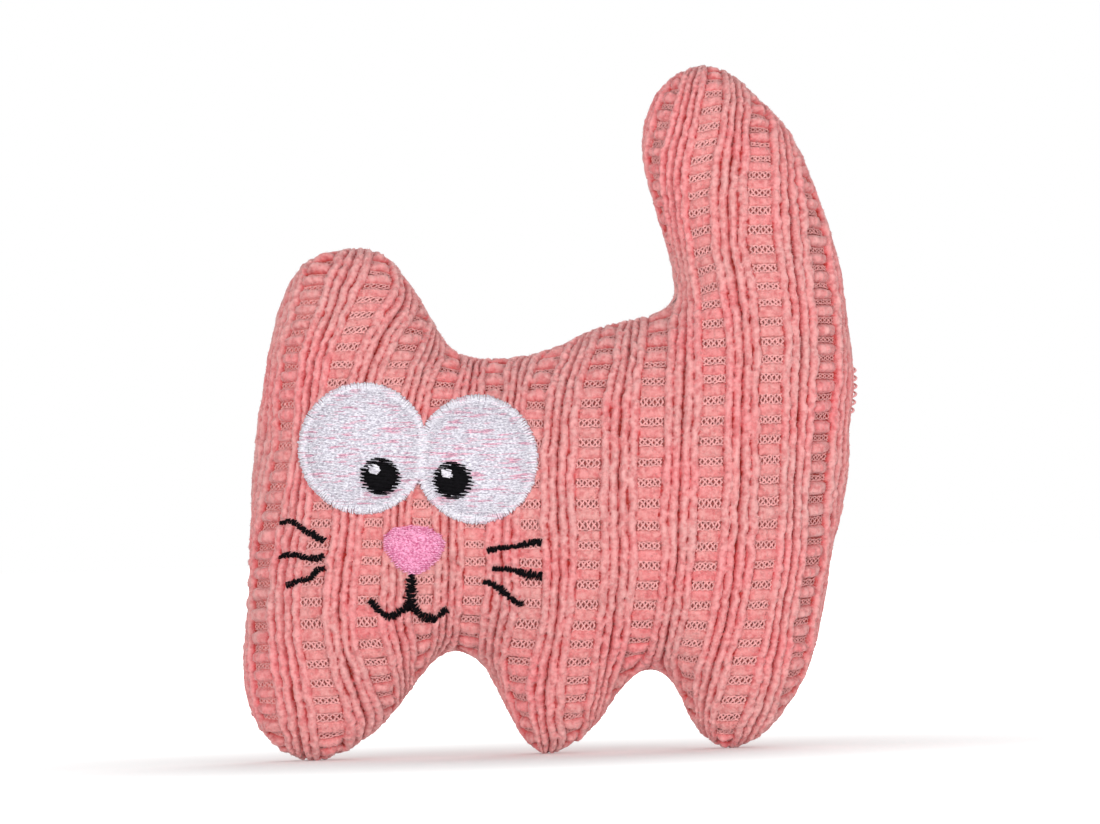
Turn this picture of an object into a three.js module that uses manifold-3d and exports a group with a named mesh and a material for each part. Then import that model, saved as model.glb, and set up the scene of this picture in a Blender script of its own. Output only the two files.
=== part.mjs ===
// A stuffed plush cat: two knitted panels sewn together round their edge, wads of filling, and an
// embroidered face. Millimetres. +X runs from the face to the tail, +Z is up, and the face looks
// along -Y. The origin is on the ground, in the plane of the seam, halfway along the cat.
import * as THREE from 'three';
import { mergeVertices } from 'three/addons/utils/BufferGeometryUtils.js';
import Module from 'manifold-3d';

const wasm = await Module();
wasm.setup();

// Widths of the legs and arches along the ground, from the front leg back
const frontLegWidth = 32.1;
const firstArchWidth = 20.7;
const middleLegWidth = 22.5;
const secondArchWidth = 11.4;
const rearLegWidth = 24.2;
const rumpOverhang = 13.4;

// Heights of the outline, from the ground up
const footHeight = 10.7;
const firstArchHeight = 21.2;
const secondArchHeight = 16.4;
const backHeight = 79.3;
const backRise = 10.5;
const earHeight = 23.4;
const tailHeight = 47.1;

// Widths of what stands up from the back, and how far the face leans in at its top
const headWidth = 46.2;
const tailWidth = 41.5;
const faceLean = 8.4;

// How the panels swell and what they are made of
const edgeRadius = 11;
const coverThickness = 1.9;
const panelGap = 0.3;
const clearance = 0.3;
const footFlatDepth = 0.5;

// The knit's ladders: open strips that run up the cat, sunk between its thick ribs
const ladderWidth = 3.6;
const ladderDepth = 1.2;
const ladderSideWidth = 0.8;

// The seam allowance, turned inside, and the hand stitches that close the stuffing hole
const seamWidth = 3;
const seamThickness = 1.6;
const closingThread = 0.6;
const closingWidth = 2.6;
const closingLength = 10;
const closingStitches = 6;

// The embroidery: its thickness, the sheet behind it, and the sizes that the eyes don't give
const stitchThickness = 0.6;
const backingThickness = 0.4;
const backingMargin = 1.5;
const pupilWidth = 7.9;
const pupilHeight = 7.3;
const glintWidth = 2.4;
const glintHeight = 2;
const mouthLine = 1.5;
const whiskerLine = 1.3;

// How finely the forms are cut: points round each loop, and the step across the panels
const outlineSamples = 2000;
const outlinePoints = 122;
const fieldPoints = 300;
const formPoints = 48;
const backingPoints = 40;
const eyePoints = 28;
const pupilPoints = 20;
const glintPoints = 12;
const threadSides = 6;
const stepsPerStitch = 8;
const stepsPerLine = 8;
const eyeRings = 3;
const noseRings = 2;
const panelStep = 6;
const ladderStep = 7;
const fewestRows = 3;

const bodyLength = frontLegWidth + firstArchWidth + middleLegWidth + secondArchWidth
  + rearLegWidth + rumpOverhang;
const backLength = bodyLength - headWidth - tailWidth;
const firstArchX = frontLegWidth;
const middleLegX = firstArchX + firstArchWidth;
const secondArchX = middleLegX + middleLegWidth;
const rearLegX = secondArchX + secondArchWidth;
const rumpX = rearLegX + rearLegWidth;
const tailBase = backHeight + backRise;
const topHeight = tailBase + tailHeight;
const faceHeight = backHeight - firstArchHeight;

// Points of each stretch of the outline, as shares of that stretch's own box
const frontFootShares = [[0.78, 0.21], [0.45, 0], [0.25, 0.09], [0.08, 0.34], [0.01, 0.67]];
const faceShares = [[0, 0.01], [0.17, 0.23], [0.25, 0.43], [0.38, 0.69], [0.67, 0.92]];
const earShares = [
  [0.18, 0.36], [0.24, 0.68], [0.33, 0.88], [0.45, 0.97], [0.58, 1],
  [0.68, 0.91], [0.77, 0.68], [0.88, 0.3], [0.94, 0.11], [1, 0.03],
];
const backShares = [[0.15, 0], [0.37, 0.08], [0.52, 0.23], [0.66, 0.46], [0.78, 0.6], [0.97, 0.7]];
const tailShares = [
  [0.11, -0.03], [0.14, 0], [0.13, 0.11], [0.1, 0.24], [0.06, 0.38], [0.01, 0.52],
  [0, 0.64], [0.02, 0.79], [0.1, 0.91], [0.21, 0.98], [0.33, 1], [0.44, 0.97],
  [0.57, 0.86], [0.71, 0.73], [0.8, 0.56], [0.87, 0.39], [0.93, 0.2],
];
const rumpShares = [
  [0.91, 0.99], [0.98, 0.86], [1, 0.76], [0.91, 0.67], [0.88, 0.56],
  [0.77, 0.46], [0.6, 0.36], [0.46, 0.23], [0.27, 0.09],
];
const rearFootShares = [[1, 1], [0.76, 0.34], [0.44, 0], [0.23, 0.19], [0.12, 0.5]];
const secondArchShares = [[1, 0.7], [0.85, 0.9], [0.61, 1], [0.29, 0.95], [0, 0.73]];
const middleFootShares = [[0.81, 0.57], [0.59, 0.17], [0.32, 0], [0.13, 0.22]];
const firstArchShares = [
  [1, 0.39], [0.87, 0.67], [0.71, 0.91], [0.53, 1], [0.34, 0.95], [0.2, 0.79], [0, 0.53],
];

// The ladders, from the face back: how far along the cat each one stands, as shares of the cat's
// length, from the ground up at even shares of its height
const ladderHeightShare = 0.2;
const ladderShares = [
  [0.056, 0.027, 0.061, 0.093, 0.165],
  [0.143, 0.114, 0.139, 0.186, 0.3],
  [0.245, 0.204, 0.228, 0.283, 0.42],
  [0.314, 0.293, 0.306, 0.36],
  [0.362, 0.372, 0.393, 0.43],
  [0.438, 0.461, 0.471, 0.515],
  [0.528, 0.553, 0.566, 0.599],
  [0.6, 0.648, 0.664, 0.679, 0.683, 0.73],
  [0.676, 0.735, 0.761, 0.771, 0.755, 0.792],
  [0.764, 0.831, 0.858, 0.866, 0.856, 0.867],
  [0.861, 0.911, 0.94, 0.96, 0.943, 0.925],
];
// The panels are cut apart from each other, so a ladder of the back one stands nearer to the face
// than the front one's, by a share of the way to the next
const backLadderShare = 0.37;

// Points given as shares of a box with its low corner at x, z
function inBox(shares, x, z, width, height) {
  return shares.map(([across, up]) => new THREE.Vector2(x + across * width, z + up * height));
}

// The outline of the cat in the plane of the seam, clockwise from the front foot
function outlineCurve() {
  const ground = -footFlatDepth;
  const rumpHeight = tailBase - footHeight;
  const corners = [
    ...inBox(frontFootShares, 0, ground, frontLegWidth, firstArchHeight - ground),
    ...inBox(faceShares, 0, firstArchHeight, faceLean, faceHeight),
    ...inBox(earShares, 0, backHeight, headWidth, earHeight),
    ...inBox(backShares, headWidth, backHeight, backLength, backRise),
    ...inBox(tailShares, bodyLength - tailWidth, tailBase, tailWidth, tailHeight),
    ...inBox(rumpShares, rumpX, footHeight, rumpOverhang, rumpHeight),
    ...inBox(rearFootShares, rearLegX, ground, rearLegWidth, footHeight - ground),
    ...inBox(secondArchShares, secondArchX, ground, secondArchWidth, secondArchHeight - ground),
    ...inBox(middleFootShares, middleLegX, ground, middleLegWidth, footHeight - ground),
    ...inBox(firstArchShares, firstArchX, ground, firstArchWidth, firstArchHeight - ground),
  ];
  const places = corners.map((p) => new THREE.Vector3(p.x, p.y, 0));
  return new THREE.CatmullRomCurve3(places, true, 'centripetal');
}

const outline = outlineCurve();
outline.arcLengthDivisions = outlineSamples;

// Evenly spaced points of the outline, turned to run anticlockwise
function outlineLoop(count) {
  return outline.getSpacedPoints(count).slice(1).reverse().map((p) => new THREE.Vector2(p.x, p.y));
}

const field = outlineLoop(fieldPoints);
const rimLoop = outlineLoop(outlinePoints);

// The swelling of the panels at a place: its distance from a straight edge, and half the half
// width in the middle of a limb, from a mean of the outline as that place sees it
function swelling(x, z) {
  let sum = 0;
  field.forEach((from, i) => {
    const to = field[(i + 1) % field.length];
    const length = from.distanceTo(to);
    const alongX = (to.x - from.x) / length;
    const alongZ = (to.y - from.y) / length;
    const start = (from.x - x) * alongX + (from.y - z) * alongZ;
    const off = (from.x - x) * alongZ - (from.y - z) * alongX;
    const near = start / Math.hypot(start, off);
    const far = (start + length) / Math.hypot(start + length, off);
    sum += off === 0 ? 0 : (far - near) / off;
  });
  return 2 / sum;
}

// How far from a place its slope is felt for, as a share of the edge radius
const probeShare = 0.005;

// How far a panel swells at a place inside the outline, and the direction out of its surface.
// The side is -1 for the front panel and 1 for the back one.
function swollen({ x, y: z }, side) {
  const probe = edgeRadius * probeShare;
  const slopeX = (swelling(x + probe, z) - swelling(x - probe, z)) / (2 * probe);
  const slopeZ = (swelling(x, z + probe) - swelling(x, z - probe)) / (2 * probe);
  const height = Math.sqrt(2 * edgeRadius * swelling(x, z));
  const normal = new THREE.Vector3(-edgeRadius * slopeX, side * height, -edgeRadius * slopeZ);
  return { height, normal: normal.normalize() };
}

// A place on the panels' outer surface, moved out along the surface's normal by a distance
function onPanel(place, side, out) {
  if (place.outward) {
    const x = place.x + place.outward.x * out;
    const z = place.y + place.outward.y * out;
    return new THREE.Vector3(x, side * panelGap / 2, z);
  }
  const { height, normal } = swollen(place, side);
  return new THREE.Vector3(place.x, side * (height + panelGap / 2), place.y).addScaledVector(normal, out);
}

// The outward direction at each point of an anticlockwise loop
function outwards(loop) {
  return loop.map((p, i) => {
    const before = loop[(i + loop.length - 1) % loop.length];
    const after = loop[(i + 1) % loop.length];
    return new THREE.Vector2(after.y - before.y, before.x - after.x).normalize();
  });
}

function distanceToLoop(p, loop) {
  let least = Infinity;
  loop.forEach((a, i) => {
    const b = loop[(i + 1) % loop.length];
    const along = b.clone().sub(a);
    const share = THREE.MathUtils.clamp(p.clone().sub(a).dot(along) / along.lengthSq(), 0, 1);
    least = Math.min(least, p.distanceTo(a.clone().addScaledVector(along, share)));
  });
  return least;
}

function isInside(p, loop) {
  let inside = false;
  loop.forEach((a, i) => {
    const b = loop[(i + 1) % loop.length];
    const crosses = (a.y > p.y) !== (b.y > p.y);
    if (crosses && p.x < a.x + (b.x - a.x) * (p.y - a.y) / (b.y - a.y)) inside = !inside;
  });
  return inside;
}

// A drawn in point has folded over where it lies nearer to the outline than this share of its way
const foldShare = 0.9;

// The outline drawn in by a distance, without the points that would fold over at its tight bends
// if they were drawn in to the deepest distance
function insetLoop(distance, deepest = distance) {
  const away = outwards(rimLoop);
  const drawnIn = (by) => rimLoop.map((p, i) => p.clone().addScaledVector(away[i], -by));
  const deep = drawnIn(deepest);
  return drawnIn(distance).filter((_, i) => distanceToLoop(deep[i], field) > foldShare * deepest);
}

// Whether a point lies in the circle through the corners of an anticlockwise triangle
function inCircle(a, b, c, p) {
  const [ax, az, bx, bz, cx, cz] = [a.x - p.x, a.y - p.y, b.x - p.x, b.y - p.y, c.x - p.x, c.y - p.y];
  const turn = (ax * ax + az * az) * (bx * cz - cx * bz)
    - (bx * bx + bz * bz) * (ax * cz - cx * az)
    + (cx * cx + cz * cz) * (ax * bz - bx * az);
  return turn > 0;
}

// How far the first triangle reaches past the cat, as a share of its length
const reachShare = 20;

// Delaunay triangles over a set of points, added one at a time inside one wide triangle
function delaunay(points) {
  const reach = reachShare * bodyLength;
  const wide = [
    new THREE.Vector2(-reach, -reach),
    new THREE.Vector2(reach, -reach),
    new THREE.Vector2(0, reach),
  ];
  const all = [...points, ...wide];
  let triangles = [[points.length, points.length + 1, points.length + 2]];
  points.forEach((p, index) => {
    const opened = new Map();
    triangles = triangles.filter((t) => {
      if (!inCircle(all[t[0]], all[t[1]], all[t[2]], p)) return true;
      t.forEach((from, i) => {
        const to = t[(i + 1) % 3];
        if (!opened.delete(`${to} ${from}`)) opened.set(`${from} ${to}`, [from, to]);
      });
      return false;
    });
    opened.forEach(([from, to]) => triangles.push([from, to, index]));
  });
  return triangles.filter((t) => Math.max(...t) < points.length);
}

// The rings inside the rim, as shares of the edge radius, and how far each row of the field
// starts on from the one before, as a share of the step, so that no four points share a circle
const ringShares = [0.08, 0.32];
const rowShiftShare = 0.618;

// The rim of a panel, and the rings drawn in from it
function edgePoints() {
  const away = outwards(rimLoop);
  const points = rimLoop.map((p, i) => Object.assign(p.clone(), { outward: away[i] }));
  ringShares.forEach((share) => points.push(...insetLoop(share * edgeRadius)));
  return points;
}

// The triangles that fill the rim, over points inside it
function layoutOver(points) {
  const triangles = delaunay(points).filter((t) => {
    const centre = new THREE.Vector2();
    t.forEach((i) => centre.addScaledVector(points[i], 1 / 3));
    return isInside(centre, rimLoop);
  });
  return { points, triangles };
}

// A panel as flat points and triangles: its edge and an even field
function panelLayout() {
  const points = edgePoints();
  const innerEdge = ringShares.at(-1) * edgeRadius + panelStep / 2;
  const rowStep = panelStep * Math.sqrt(3) / 2;
  const rows = Math.ceil(topHeight / rowStep);
  const columns = Math.ceil(bodyLength / panelStep);
  for (let row = 0; row <= rows; row++) {
    const shift = (row * rowShiftShare) % 1;
    for (let column = 0; column <= columns; column++) {
      const p = new THREE.Vector2((column + shift) * panelStep, row * rowStep);
      if (isInside(p, field) && distanceToLoop(p, field) > innerEdge) points.push(p);
    }
  }
  return layoutOver(points);
}

// How far along the cat a ladder stands at a height
function ladderPlace(shares, z) {
  const at = z / (ladderHeightShare * topHeight);
  const below = Math.min(Math.floor(at), shares.length - 2);
  return bodyLength * THREE.MathUtils.lerp(shares[below], shares[below + 1], at - below);
}

// The rows of points on the ladders lean by a share, so that no four of them share a circle
const rowLeanShare = 0.05;

// The four points across a ladder at a height, of which the middle two are sunk, or none where it
// runs close to the edge. Its widths are measured on the cloth, which leans away from the middle.
function ladderRow(middle, z, side) {
  const innerEdge = ringShares.at(-1) * edgeRadius + ladderSideWidth;
  const isClear = (p) => isInside(p, field) && distanceToLoop(p, field) > innerEdge;
  const onRow = (x) => new THREE.Vector2(x, z + rowLeanShare * x);
  if (!isClear(onRow(middle))) return [];
  const flatness = Math.abs(swollen(onRow(middle), side).normal.y);
  const outer = flatness * (ladderWidth + ladderSideWidth) / 2;
  const inner = flatness * (ladderWidth - ladderSideWidth) / 2;
  const row = [
    onRow(middle - outer),
    Object.assign(onRow(middle - inner), { sunk: ladderDepth }),
    Object.assign(onRow(middle + inner), { sunk: ladderDepth }),
    onRow(middle + outer),
  ];
  return row.every(isClear) ? row : [];
}

// A panel's outside: its edge, and every stretch of a ladder that has rows enough
function knitLayout(side) {
  const points = edgePoints();
  ladderShares.forEach((shares, number) => {
    let stretch = [];
    for (let z = ladderStep / 2; z < topHeight + ladderStep; z += ladderStep) {
      const front = ladderPlace(shares, z);
      const before = number > 0 ? ladderPlace(ladderShares[number - 1], z) : 0;
      const row = ladderRow(side > 0 ? THREE.MathUtils.lerp(front, before, backLadderShare) : front, z, side);
      if (row.length > 0) {
        stretch.push(row);
      } else {
        if (stretch.length >= fewestRows) points.push(...stretch.flat());
        stretch = [];
      }
    }
  });
  return layoutOver(points);
}

// A closed geometry between two flat layouts with the same rim, each placed by its own function.
// Seen from the near one the triangles run anticlockwise.
function between(near, placeNear, far, placeFar) {
  const count = near.points.length;
  const positions = [...near.points.map(placeNear), ...far.points.map(placeFar)].flatMap((v) => v.toArray());
  const index = [];
  const edges = new Set(near.triangles.flatMap(([a, b, c]) => [`${a} ${b}`, `${b} ${c}`, `${c} ${a}`]));
  near.triangles.forEach(([a, b, c]) => index.push(a, b, c));
  far.triangles.forEach(([a, b, c]) => index.push(count + c, count + b, count + a));
  edges.forEach((edge) => {
    const [from, to] = edge.split(' ').map(Number);
    if (!edges.has(`${to} ${from}`)) index.push(to, from, count + from, to, count + from, count + to);
  });
  const geometry = new THREE.BufferGeometry();
  geometry.setAttribute('position', new THREE.Float32BufferAttribute(positions, 3));
  return geometry.setIndex(index);
}

// A sheet that lies on the front panel between two distances out from its surface
function frontSheet(layout, inner, outer) {
  return between(layout, (p) => onPanel(p, -1, outer), layout, (p) => onPanel(p, -1, inner));
}

function toSolid(geometry) {
  const bare = geometry.index ? geometry.toNonIndexed() : geometry.clone();
  bare.deleteAttribute('normal');
  bare.deleteAttribute('uv');
  const merged = mergeVertices(bare);
  return new wasm.Manifold(new wasm.Mesh({
    numProp: 3,
    vertProperties: new Float32Array(merged.attributes.position.array),
    triVerts: new Uint32Array(merged.index.array),
  }));
}

function toGeometry(solid) {
  const mesh = solid.getMesh();
  const geometry = new THREE.BufferGeometry();
  geometry.setAttribute('position', new THREE.BufferAttribute(mesh.vertProperties.slice(), 3));
  geometry.setIndex(new THREE.BufferAttribute(mesh.triVerts.slice(), 1));
  return geometry;
}

// The largest of the bodies that a cut leaves
function mainBody(solid) {
  return solid.decompose().reduce((a, b) => (a.volume() > b.volume() ? a : b));
}

// A flat loop, with loops cut out of it, as thick as given and centred on the seam plane
function slab(loop, holes, thickness) {
  const shape = new THREE.Shape(loop);
  shape.holes = holes.map((hole) => new THREE.Path(hole));
  const geometry = new THREE.ExtrudeGeometry(shape, { depth: thickness, bevelEnabled: false });
  geometry.translate(0, 0, -thickness / 2).rotateX(Math.PI / 2);
  return geometry;
}

const panel = panelLayout();
const overrun = bodyLength / 2;

// A panel's cover: ribbed outside, smooth inside
function cover(side) {
  const knit = knitLayout(side);
  const outside = (p) => onPanel(p, side, -(p.sunk ?? 0));
  const inside = (p) => onPanel(p, side, -coverThickness);
  return side < 0 ? between(knit, outside, panel, inside) : between(panel, inside, knit, outside);
}

// Everything below the ground is cut away, which leaves the flats that the feet stand on
const belowGround = toSolid(new THREE.BoxGeometry(4 * bodyLength, 4 * bodyLength, overrun)
  .translate(0, 0, -overrun / 2));

function cutAtGround(geometry) {
  return toGeometry(toSolid(geometry).subtract(belowGround));
}

// The space inside the cover, less the seam allowance and the sheet behind the face
const seamOuter = coverThickness + clearance;
const seamInner = seamOuter + seamWidth;
const backingOuter = -coverThickness - clearance;
const backingInner = backingOuter - backingThickness;

// A loop of even steps round an oval: an ellipse, or one whose corners are squared a little
const squarerPower = 3;

function ovalLoop(x, z, halfWidth, halfHeight, count, power = 2) {
  return Array.from({ length: count }, (_, i) => {
    const turn = 2 * Math.PI * i / count;
    const cos = Math.cos(turn);
    const sin = Math.sin(turn);
    const across = Math.sign(cos) * Math.abs(cos) ** (2 / power);
    const up = Math.sign(sin) * Math.abs(sin) ** (2 / power);
    return new THREE.Vector2(x + halfWidth * across, z + halfHeight * up);
  });
}

// The face: the middle, width and height of each place, as shares of the head's width and height
const leftEyeShares = [0.545, 0.708, 0.545, 0.458];
const rightEyeShares = [1.052, 0.654, 0.511, 0.444];
const nosePlaceShares = [0.758, 0.355, 0.268, 0.167];
const muzzleShares = [0.747, 0.284, 1.13, 0.351];

function facePlace([x, z, width, height]) {
  return {
    x: x * headWidth,
    z: firstArchHeight + z * faceHeight,
    halfWidth: width * headWidth / 2,
    halfHeight: height * faceHeight / 2,
  };
}

const leftEye = facePlace(leftEyeShares);
const rightEye = facePlace(rightEyeShares);
const nosePlace = facePlace(nosePlaceShares);
const muzzle = facePlace(muzzleShares);

// Pupils and glints, as shares of the half width and half height of the eye that holds them
const leftPupilShares = [0.28, -0.44];
const rightPupilShares = [-0.44, -0.32];
const glintShares = [-0.25, 0.35];

// A flat layout of rings from an outer loop to an inner one of as many points
function ringLayout(outer, inner, rings) {
  const points = [];
  const triangles = [];
  const count = outer.length;
  for (let ring = 0; ring <= rings; ring++) {
    outer.forEach((p, i) => points.push(p.clone().lerp(inner[i], ring / rings)));
  }
  for (let ring = 0; ring < rings; ring++) {
    for (let i = 0; i < count; i++) {
      const next = (i + 1) % count;
      const [a, b, c, d] = [i, next, next + count, i + count].map((k) => k + ring * count);
      triangles.push([a, b, c], [a, c, d]);
    }
  }
  return { points, triangles };
}

// The same out from a middle point, for a patch with no hole
function discLayout(outer, middle, rings) {
  const { points, triangles } = ringLayout(outer, outer.map(() => middle), rings);
  const count = outer.length;
  const kept = points.slice(0, -count);
  const centre = kept.push(middle) - 1;
  const inward = triangles.map((t) => t.map((k) => Math.min(k, centre)));
  return { points: kept, triangles: inward.filter(([a, b, c]) => a !== b && b !== c && c !== a) };
}

// A flat layout of a narrow loop, with points on its edge alone
function loopLayout(loop) {
  const points = THREE.ShapeUtils.isClockWise(loop) ? [...loop].reverse() : loop;
  return { points, triangles: THREE.ShapeUtils.triangulateShape(points, []) };
}

function patch(layout) {
  return frontSheet(layout, clearance, clearance + stitchThickness);
}

function eyeLoop(eye) {
  return ovalLoop(eye.x, eye.z, eye.halfWidth, eye.halfHeight, eyePoints);
}

// The right eye gives way to the left one where they meet
function besideLeftEye(loop) {
  return loop.map((p) => {
    const up = (p.y - leftEye.z) / leftEye.halfHeight;
    if (Math.abs(up) >= 1) return p;
    const edge = leftEye.x + leftEye.halfWidth * Math.sqrt(1 - up * up) + clearance;
    return new THREE.Vector2(Math.max(p.x, edge), p.y);
  });
}

function pupilCentre(eye, shares) {
  return new THREE.Vector2(eye.x + shares[0] * eye.halfWidth, eye.z + shares[1] * eye.halfHeight);
}

function pupilLoop(centre, grow, count) {
  return ovalLoop(centre.x, centre.y, pupilWidth / 2 + grow, pupilHeight / 2 + grow, count);
}

function glintLoop(pupil, grow, count) {
  const x = pupil.x + glintShares[0] * pupilWidth;
  const z = pupil.y + glintShares[1] * pupilHeight / 2;
  return ovalLoop(x, z, glintWidth / 2 + grow, glintHeight / 2 + grow, count);
}

function eyePatch(loop, pupil) {
  return patch(ringLayout(loop, pupilLoop(pupil, clearance, eyePoints), eyeRings));
}

function pupilPatch(pupil) {
  return patch(ringLayout(pupilLoop(pupil, 0, pupilPoints), glintLoop(pupil, clearance, pupilPoints), 1));
}

function glintPatch(pupil) {
  const loop = glintLoop(pupil, 0, glintPoints);
  return patch(discLayout(loop, loop[0].clone().lerp(loop[glintPoints / 2], 0.5), 1));
}

// The nose, a triangle with round corners that points down, as shares of its own box
const noseShares = [
  [0, 0.62], [0.08, 0.87], [0.35, 0.98], [0.65, 1], [0.92, 0.9], [1, 0.66],
  [0.92, 0.34], [0.72, 0.1], [0.46, 0], [0.22, 0.13], [0.07, 0.36],
];
// The mouth and whiskers, as shares of the muzzle's box
const mouthStemShares = [[0.505, 0.43], [0.5, 0.28], [0.497, 0.14]];
const mouthLeftShares = [
  [0.497, 0.15], [0.47, 0.12], [0.44, 0.06], [0.41, 0.04], [0.38, 0.08], [0.36, 0.14], [0.335, 0.215],
];
const mouthRightShares = [
  [0.497, 0.15], [0.515, 0.11], [0.53, 0.05], [0.56, 0.015], [0.59, 0], [0.61, 0.04], [0.635, 0.1],
];
const whiskerShares = {
  left_whisker_upper: [[0, 1], [0.05, 1], [0.09, 0.93], [0.12, 0.88], [0.175, 0.8]],
  left_whisker_middle: [[0, 0.66], [0.035, 0.68], [0.075, 0.67], [0.11, 0.64], [0.16, 0.65]],
  left_whisker_lower: [[0.025, 0.38], [0.07, 0.42], [0.115, 0.45], [0.14, 0.51], [0.17, 0.54]],
  right_whisker_upper: [[0.79, 0.66], [0.86, 0.69], [0.915, 0.7], [0.955, 0.725], [1, 0.73]],
  right_whisker_middle: [[0.81, 0.48], [0.855, 0.48], [0.91, 0.45], [0.96, 0.42], [1, 0.4]],
  right_whisker_lower: [[0.775, 0.36], [0.81, 0.33], [0.85, 0.245], [0.89, 0.16], [0.92, 0.12]],
};
// A line's width at its ends, as a share of its full width
const mouthEndShare = 0.8;
const whiskerEndShare = 0.6;

// Points given as shares of a place on the face
function inPlace(shares, { x, z, halfWidth, halfHeight }) {
  return inBox(shares, x - halfWidth, z - halfHeight, 2 * halfWidth, 2 * halfHeight);
}

// The two sides of a stitched line along a smooth route, narrowing to a share at its ends
function lineSides(shares, width, endShare) {
  const route = new THREE.SplineCurve(inPlace(shares, muzzle));
  const left = [];
  const right = [];
  for (let i = 0; i <= stepsPerLine; i++) {
    const share = i / stepsPerLine;
    const middle = route.getPoint(share);
    const along = route.getTangent(share);
    const across = new THREE.Vector2(-along.y, along.x);
    const half = width / 2 * (endShare + (1 - endShare) * Math.sin(Math.PI * share) ** 0.5);
    left.push(middle.clone().addScaledVector(across, half));
    right.push(middle.clone().addScaledVector(across, -half));
  }
  return { left, right };
}

function whisker(shares) {
  const { left, right } = lineSides(shares, whiskerLine, whiskerEndShare);
  return patch(loopLayout([...right, ...left.reverse()]));
}

// The mouth is one line of stitches: a stem below the nose, and a curl to each side of it
function mouth() {
  const stem = lineSides(mouthStemShares, mouthLine, 1);
  const left = lineSides(mouthLeftShares, mouthLine, mouthEndShare);
  const right = lineSides(mouthRightShares, mouthLine, mouthEndShare);
  const lower = [...left.left.slice(2).reverse(), ...right.right.slice(2)];
  const upper = [...right.left.slice(2).reverse(), ...stem.left.slice(0, -1).reverse()];
  return patch(loopLayout([...lower, ...upper, ...stem.right.slice(0, -1), ...left.right.slice(2)]));
}

function nose() {
  const corners = inPlace(noseShares, nosePlace).map((p) => new THREE.Vector3(p.x, p.y, 0));
  const curve = new THREE.CatmullRomCurve3(corners, true);
  const loop = curve.getSpacedPoints(eyePoints).slice(1).reverse().map((p) => new THREE.Vector2(p.x, p.y));
  return patch(discLayout(loop, new THREE.Vector2(nosePlace.x, nosePlace.z), noseRings));
}

// The stabiliser sheet lies inside the front panel, behind the whole face. It follows the panel's
// own facets, and its edge is cut along an oval.
function behindFace(grow, inner, outer) {
  const reach = backingMargin + grow;
  const low = muzzle.z - muzzle.halfHeight - reach;
  const high = leftEye.z + leftEye.halfHeight + reach;
  const halfWidth = muzzle.halfWidth + reach;
  const halfHeight = (high - low) / 2;
  const loop = ovalLoop(muzzle.x, low + halfHeight, halfWidth, halfHeight, backingPoints, squarerPower);
  return toSolid(frontSheet(panel, inner, outer)).intersect(toSolid(slab(loop, [], bodyLength)));
}

// The allowance of both panels, overlocked together and lying in the plane of the seam
function overlockedSeam() {
  return slab(insetLoop(seamOuter), [insetLoop(seamInner, seamInner + clearance)], seamThickness);
}

function seamGroove() {
  const hole = insetLoop(seamInner + clearance);
  return toSolid(slab(rimLoop, [hole], seamThickness + 2 * clearance));
}

// Where the stuffing hole starts, as a share of the height of the rump
const closingShare = 0.7;

// The stuffing hole is closed by one thread that crosses the edge to and fro
function closingThreadPath() {
  const standOff = clearance + closingThread / 2;
  const start = footHeight + closingShare * (tailBase - footHeight);
  const away = outwards(field);
  const places = field.map((p, i) => ({ p, away: away[i] }))
    .filter(({ p }) => p.x > rumpX && p.y > start && p.y < start + closingLength);
  const crossings = 2 * closingStitches;
  const drop = edgeRadius - Math.sqrt(edgeRadius ** 2 - (closingWidth / 2) ** 2);
  const points = Array.from({ length: crossings }, (_, i) => {
    const { p, away: out } = places[Math.round(i / (crossings - 1) * (places.length - 1))];
    const side = i % 2 ? 1 : -1;
    const onEdge = p.clone().addScaledVector(out, standOff - drop);
    return new THREE.Vector3(onEdge.x, side * closingWidth / 2, onEdge.y);
  });
  return new THREE.CatmullRomCurve3(points, false, 'centripetal');
}

function closingStitchesThread() {
  const section = ovalLoop(0, 0, closingThread / 2, closingThread / 2, threadSides);
  return new THREE.ExtrudeGeometry(new THREE.Shape(section), {
    steps: stepsPerStitch * closingStitches,
    bevelEnabled: false,
    extrudePath: closingThreadPath(),
  });
}

// The wads of filling. Each has its own full form, and the larger ones cut the smaller. A form is
// its middle and half its size, as shares of the box behind the head and of the head's own box.
const bodyFormShares = [0.54, 0.5, 0.51, 0.53];
const headFormShares = [0.5, 0.5, 0.68, 0.57];

function formIn([x, z, halfWidth, halfHeight], left, low, width, height) {
  return {
    x: left + x * width,
    z: low + z * height,
    halfWidth: halfWidth * width,
    halfHeight: halfHeight * height,
  };
}

const bodyForm = formIn(
  bodyFormShares, headWidth, secondArchHeight, bodyLength - headWidth, tailBase - secondArchHeight,
);
const headForm = formIn(headFormShares, 0, firstArchHeight, headWidth, faceHeight);

function formSlab({ x, z, halfWidth, halfHeight }, grow) {
  const loop = ovalLoop(x, z, halfWidth + grow, halfHeight + grow, formPoints, squarerPower);
  return toSolid(slab(loop, [], bodyLength));
}

function zone(left, right, low, high) {
  const box = new THREE.BoxGeometry(right - left, bodyLength, high - low);
  return toSolid(box.translate((left + right) / 2, 0, (low + high) / 2));
}

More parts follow.
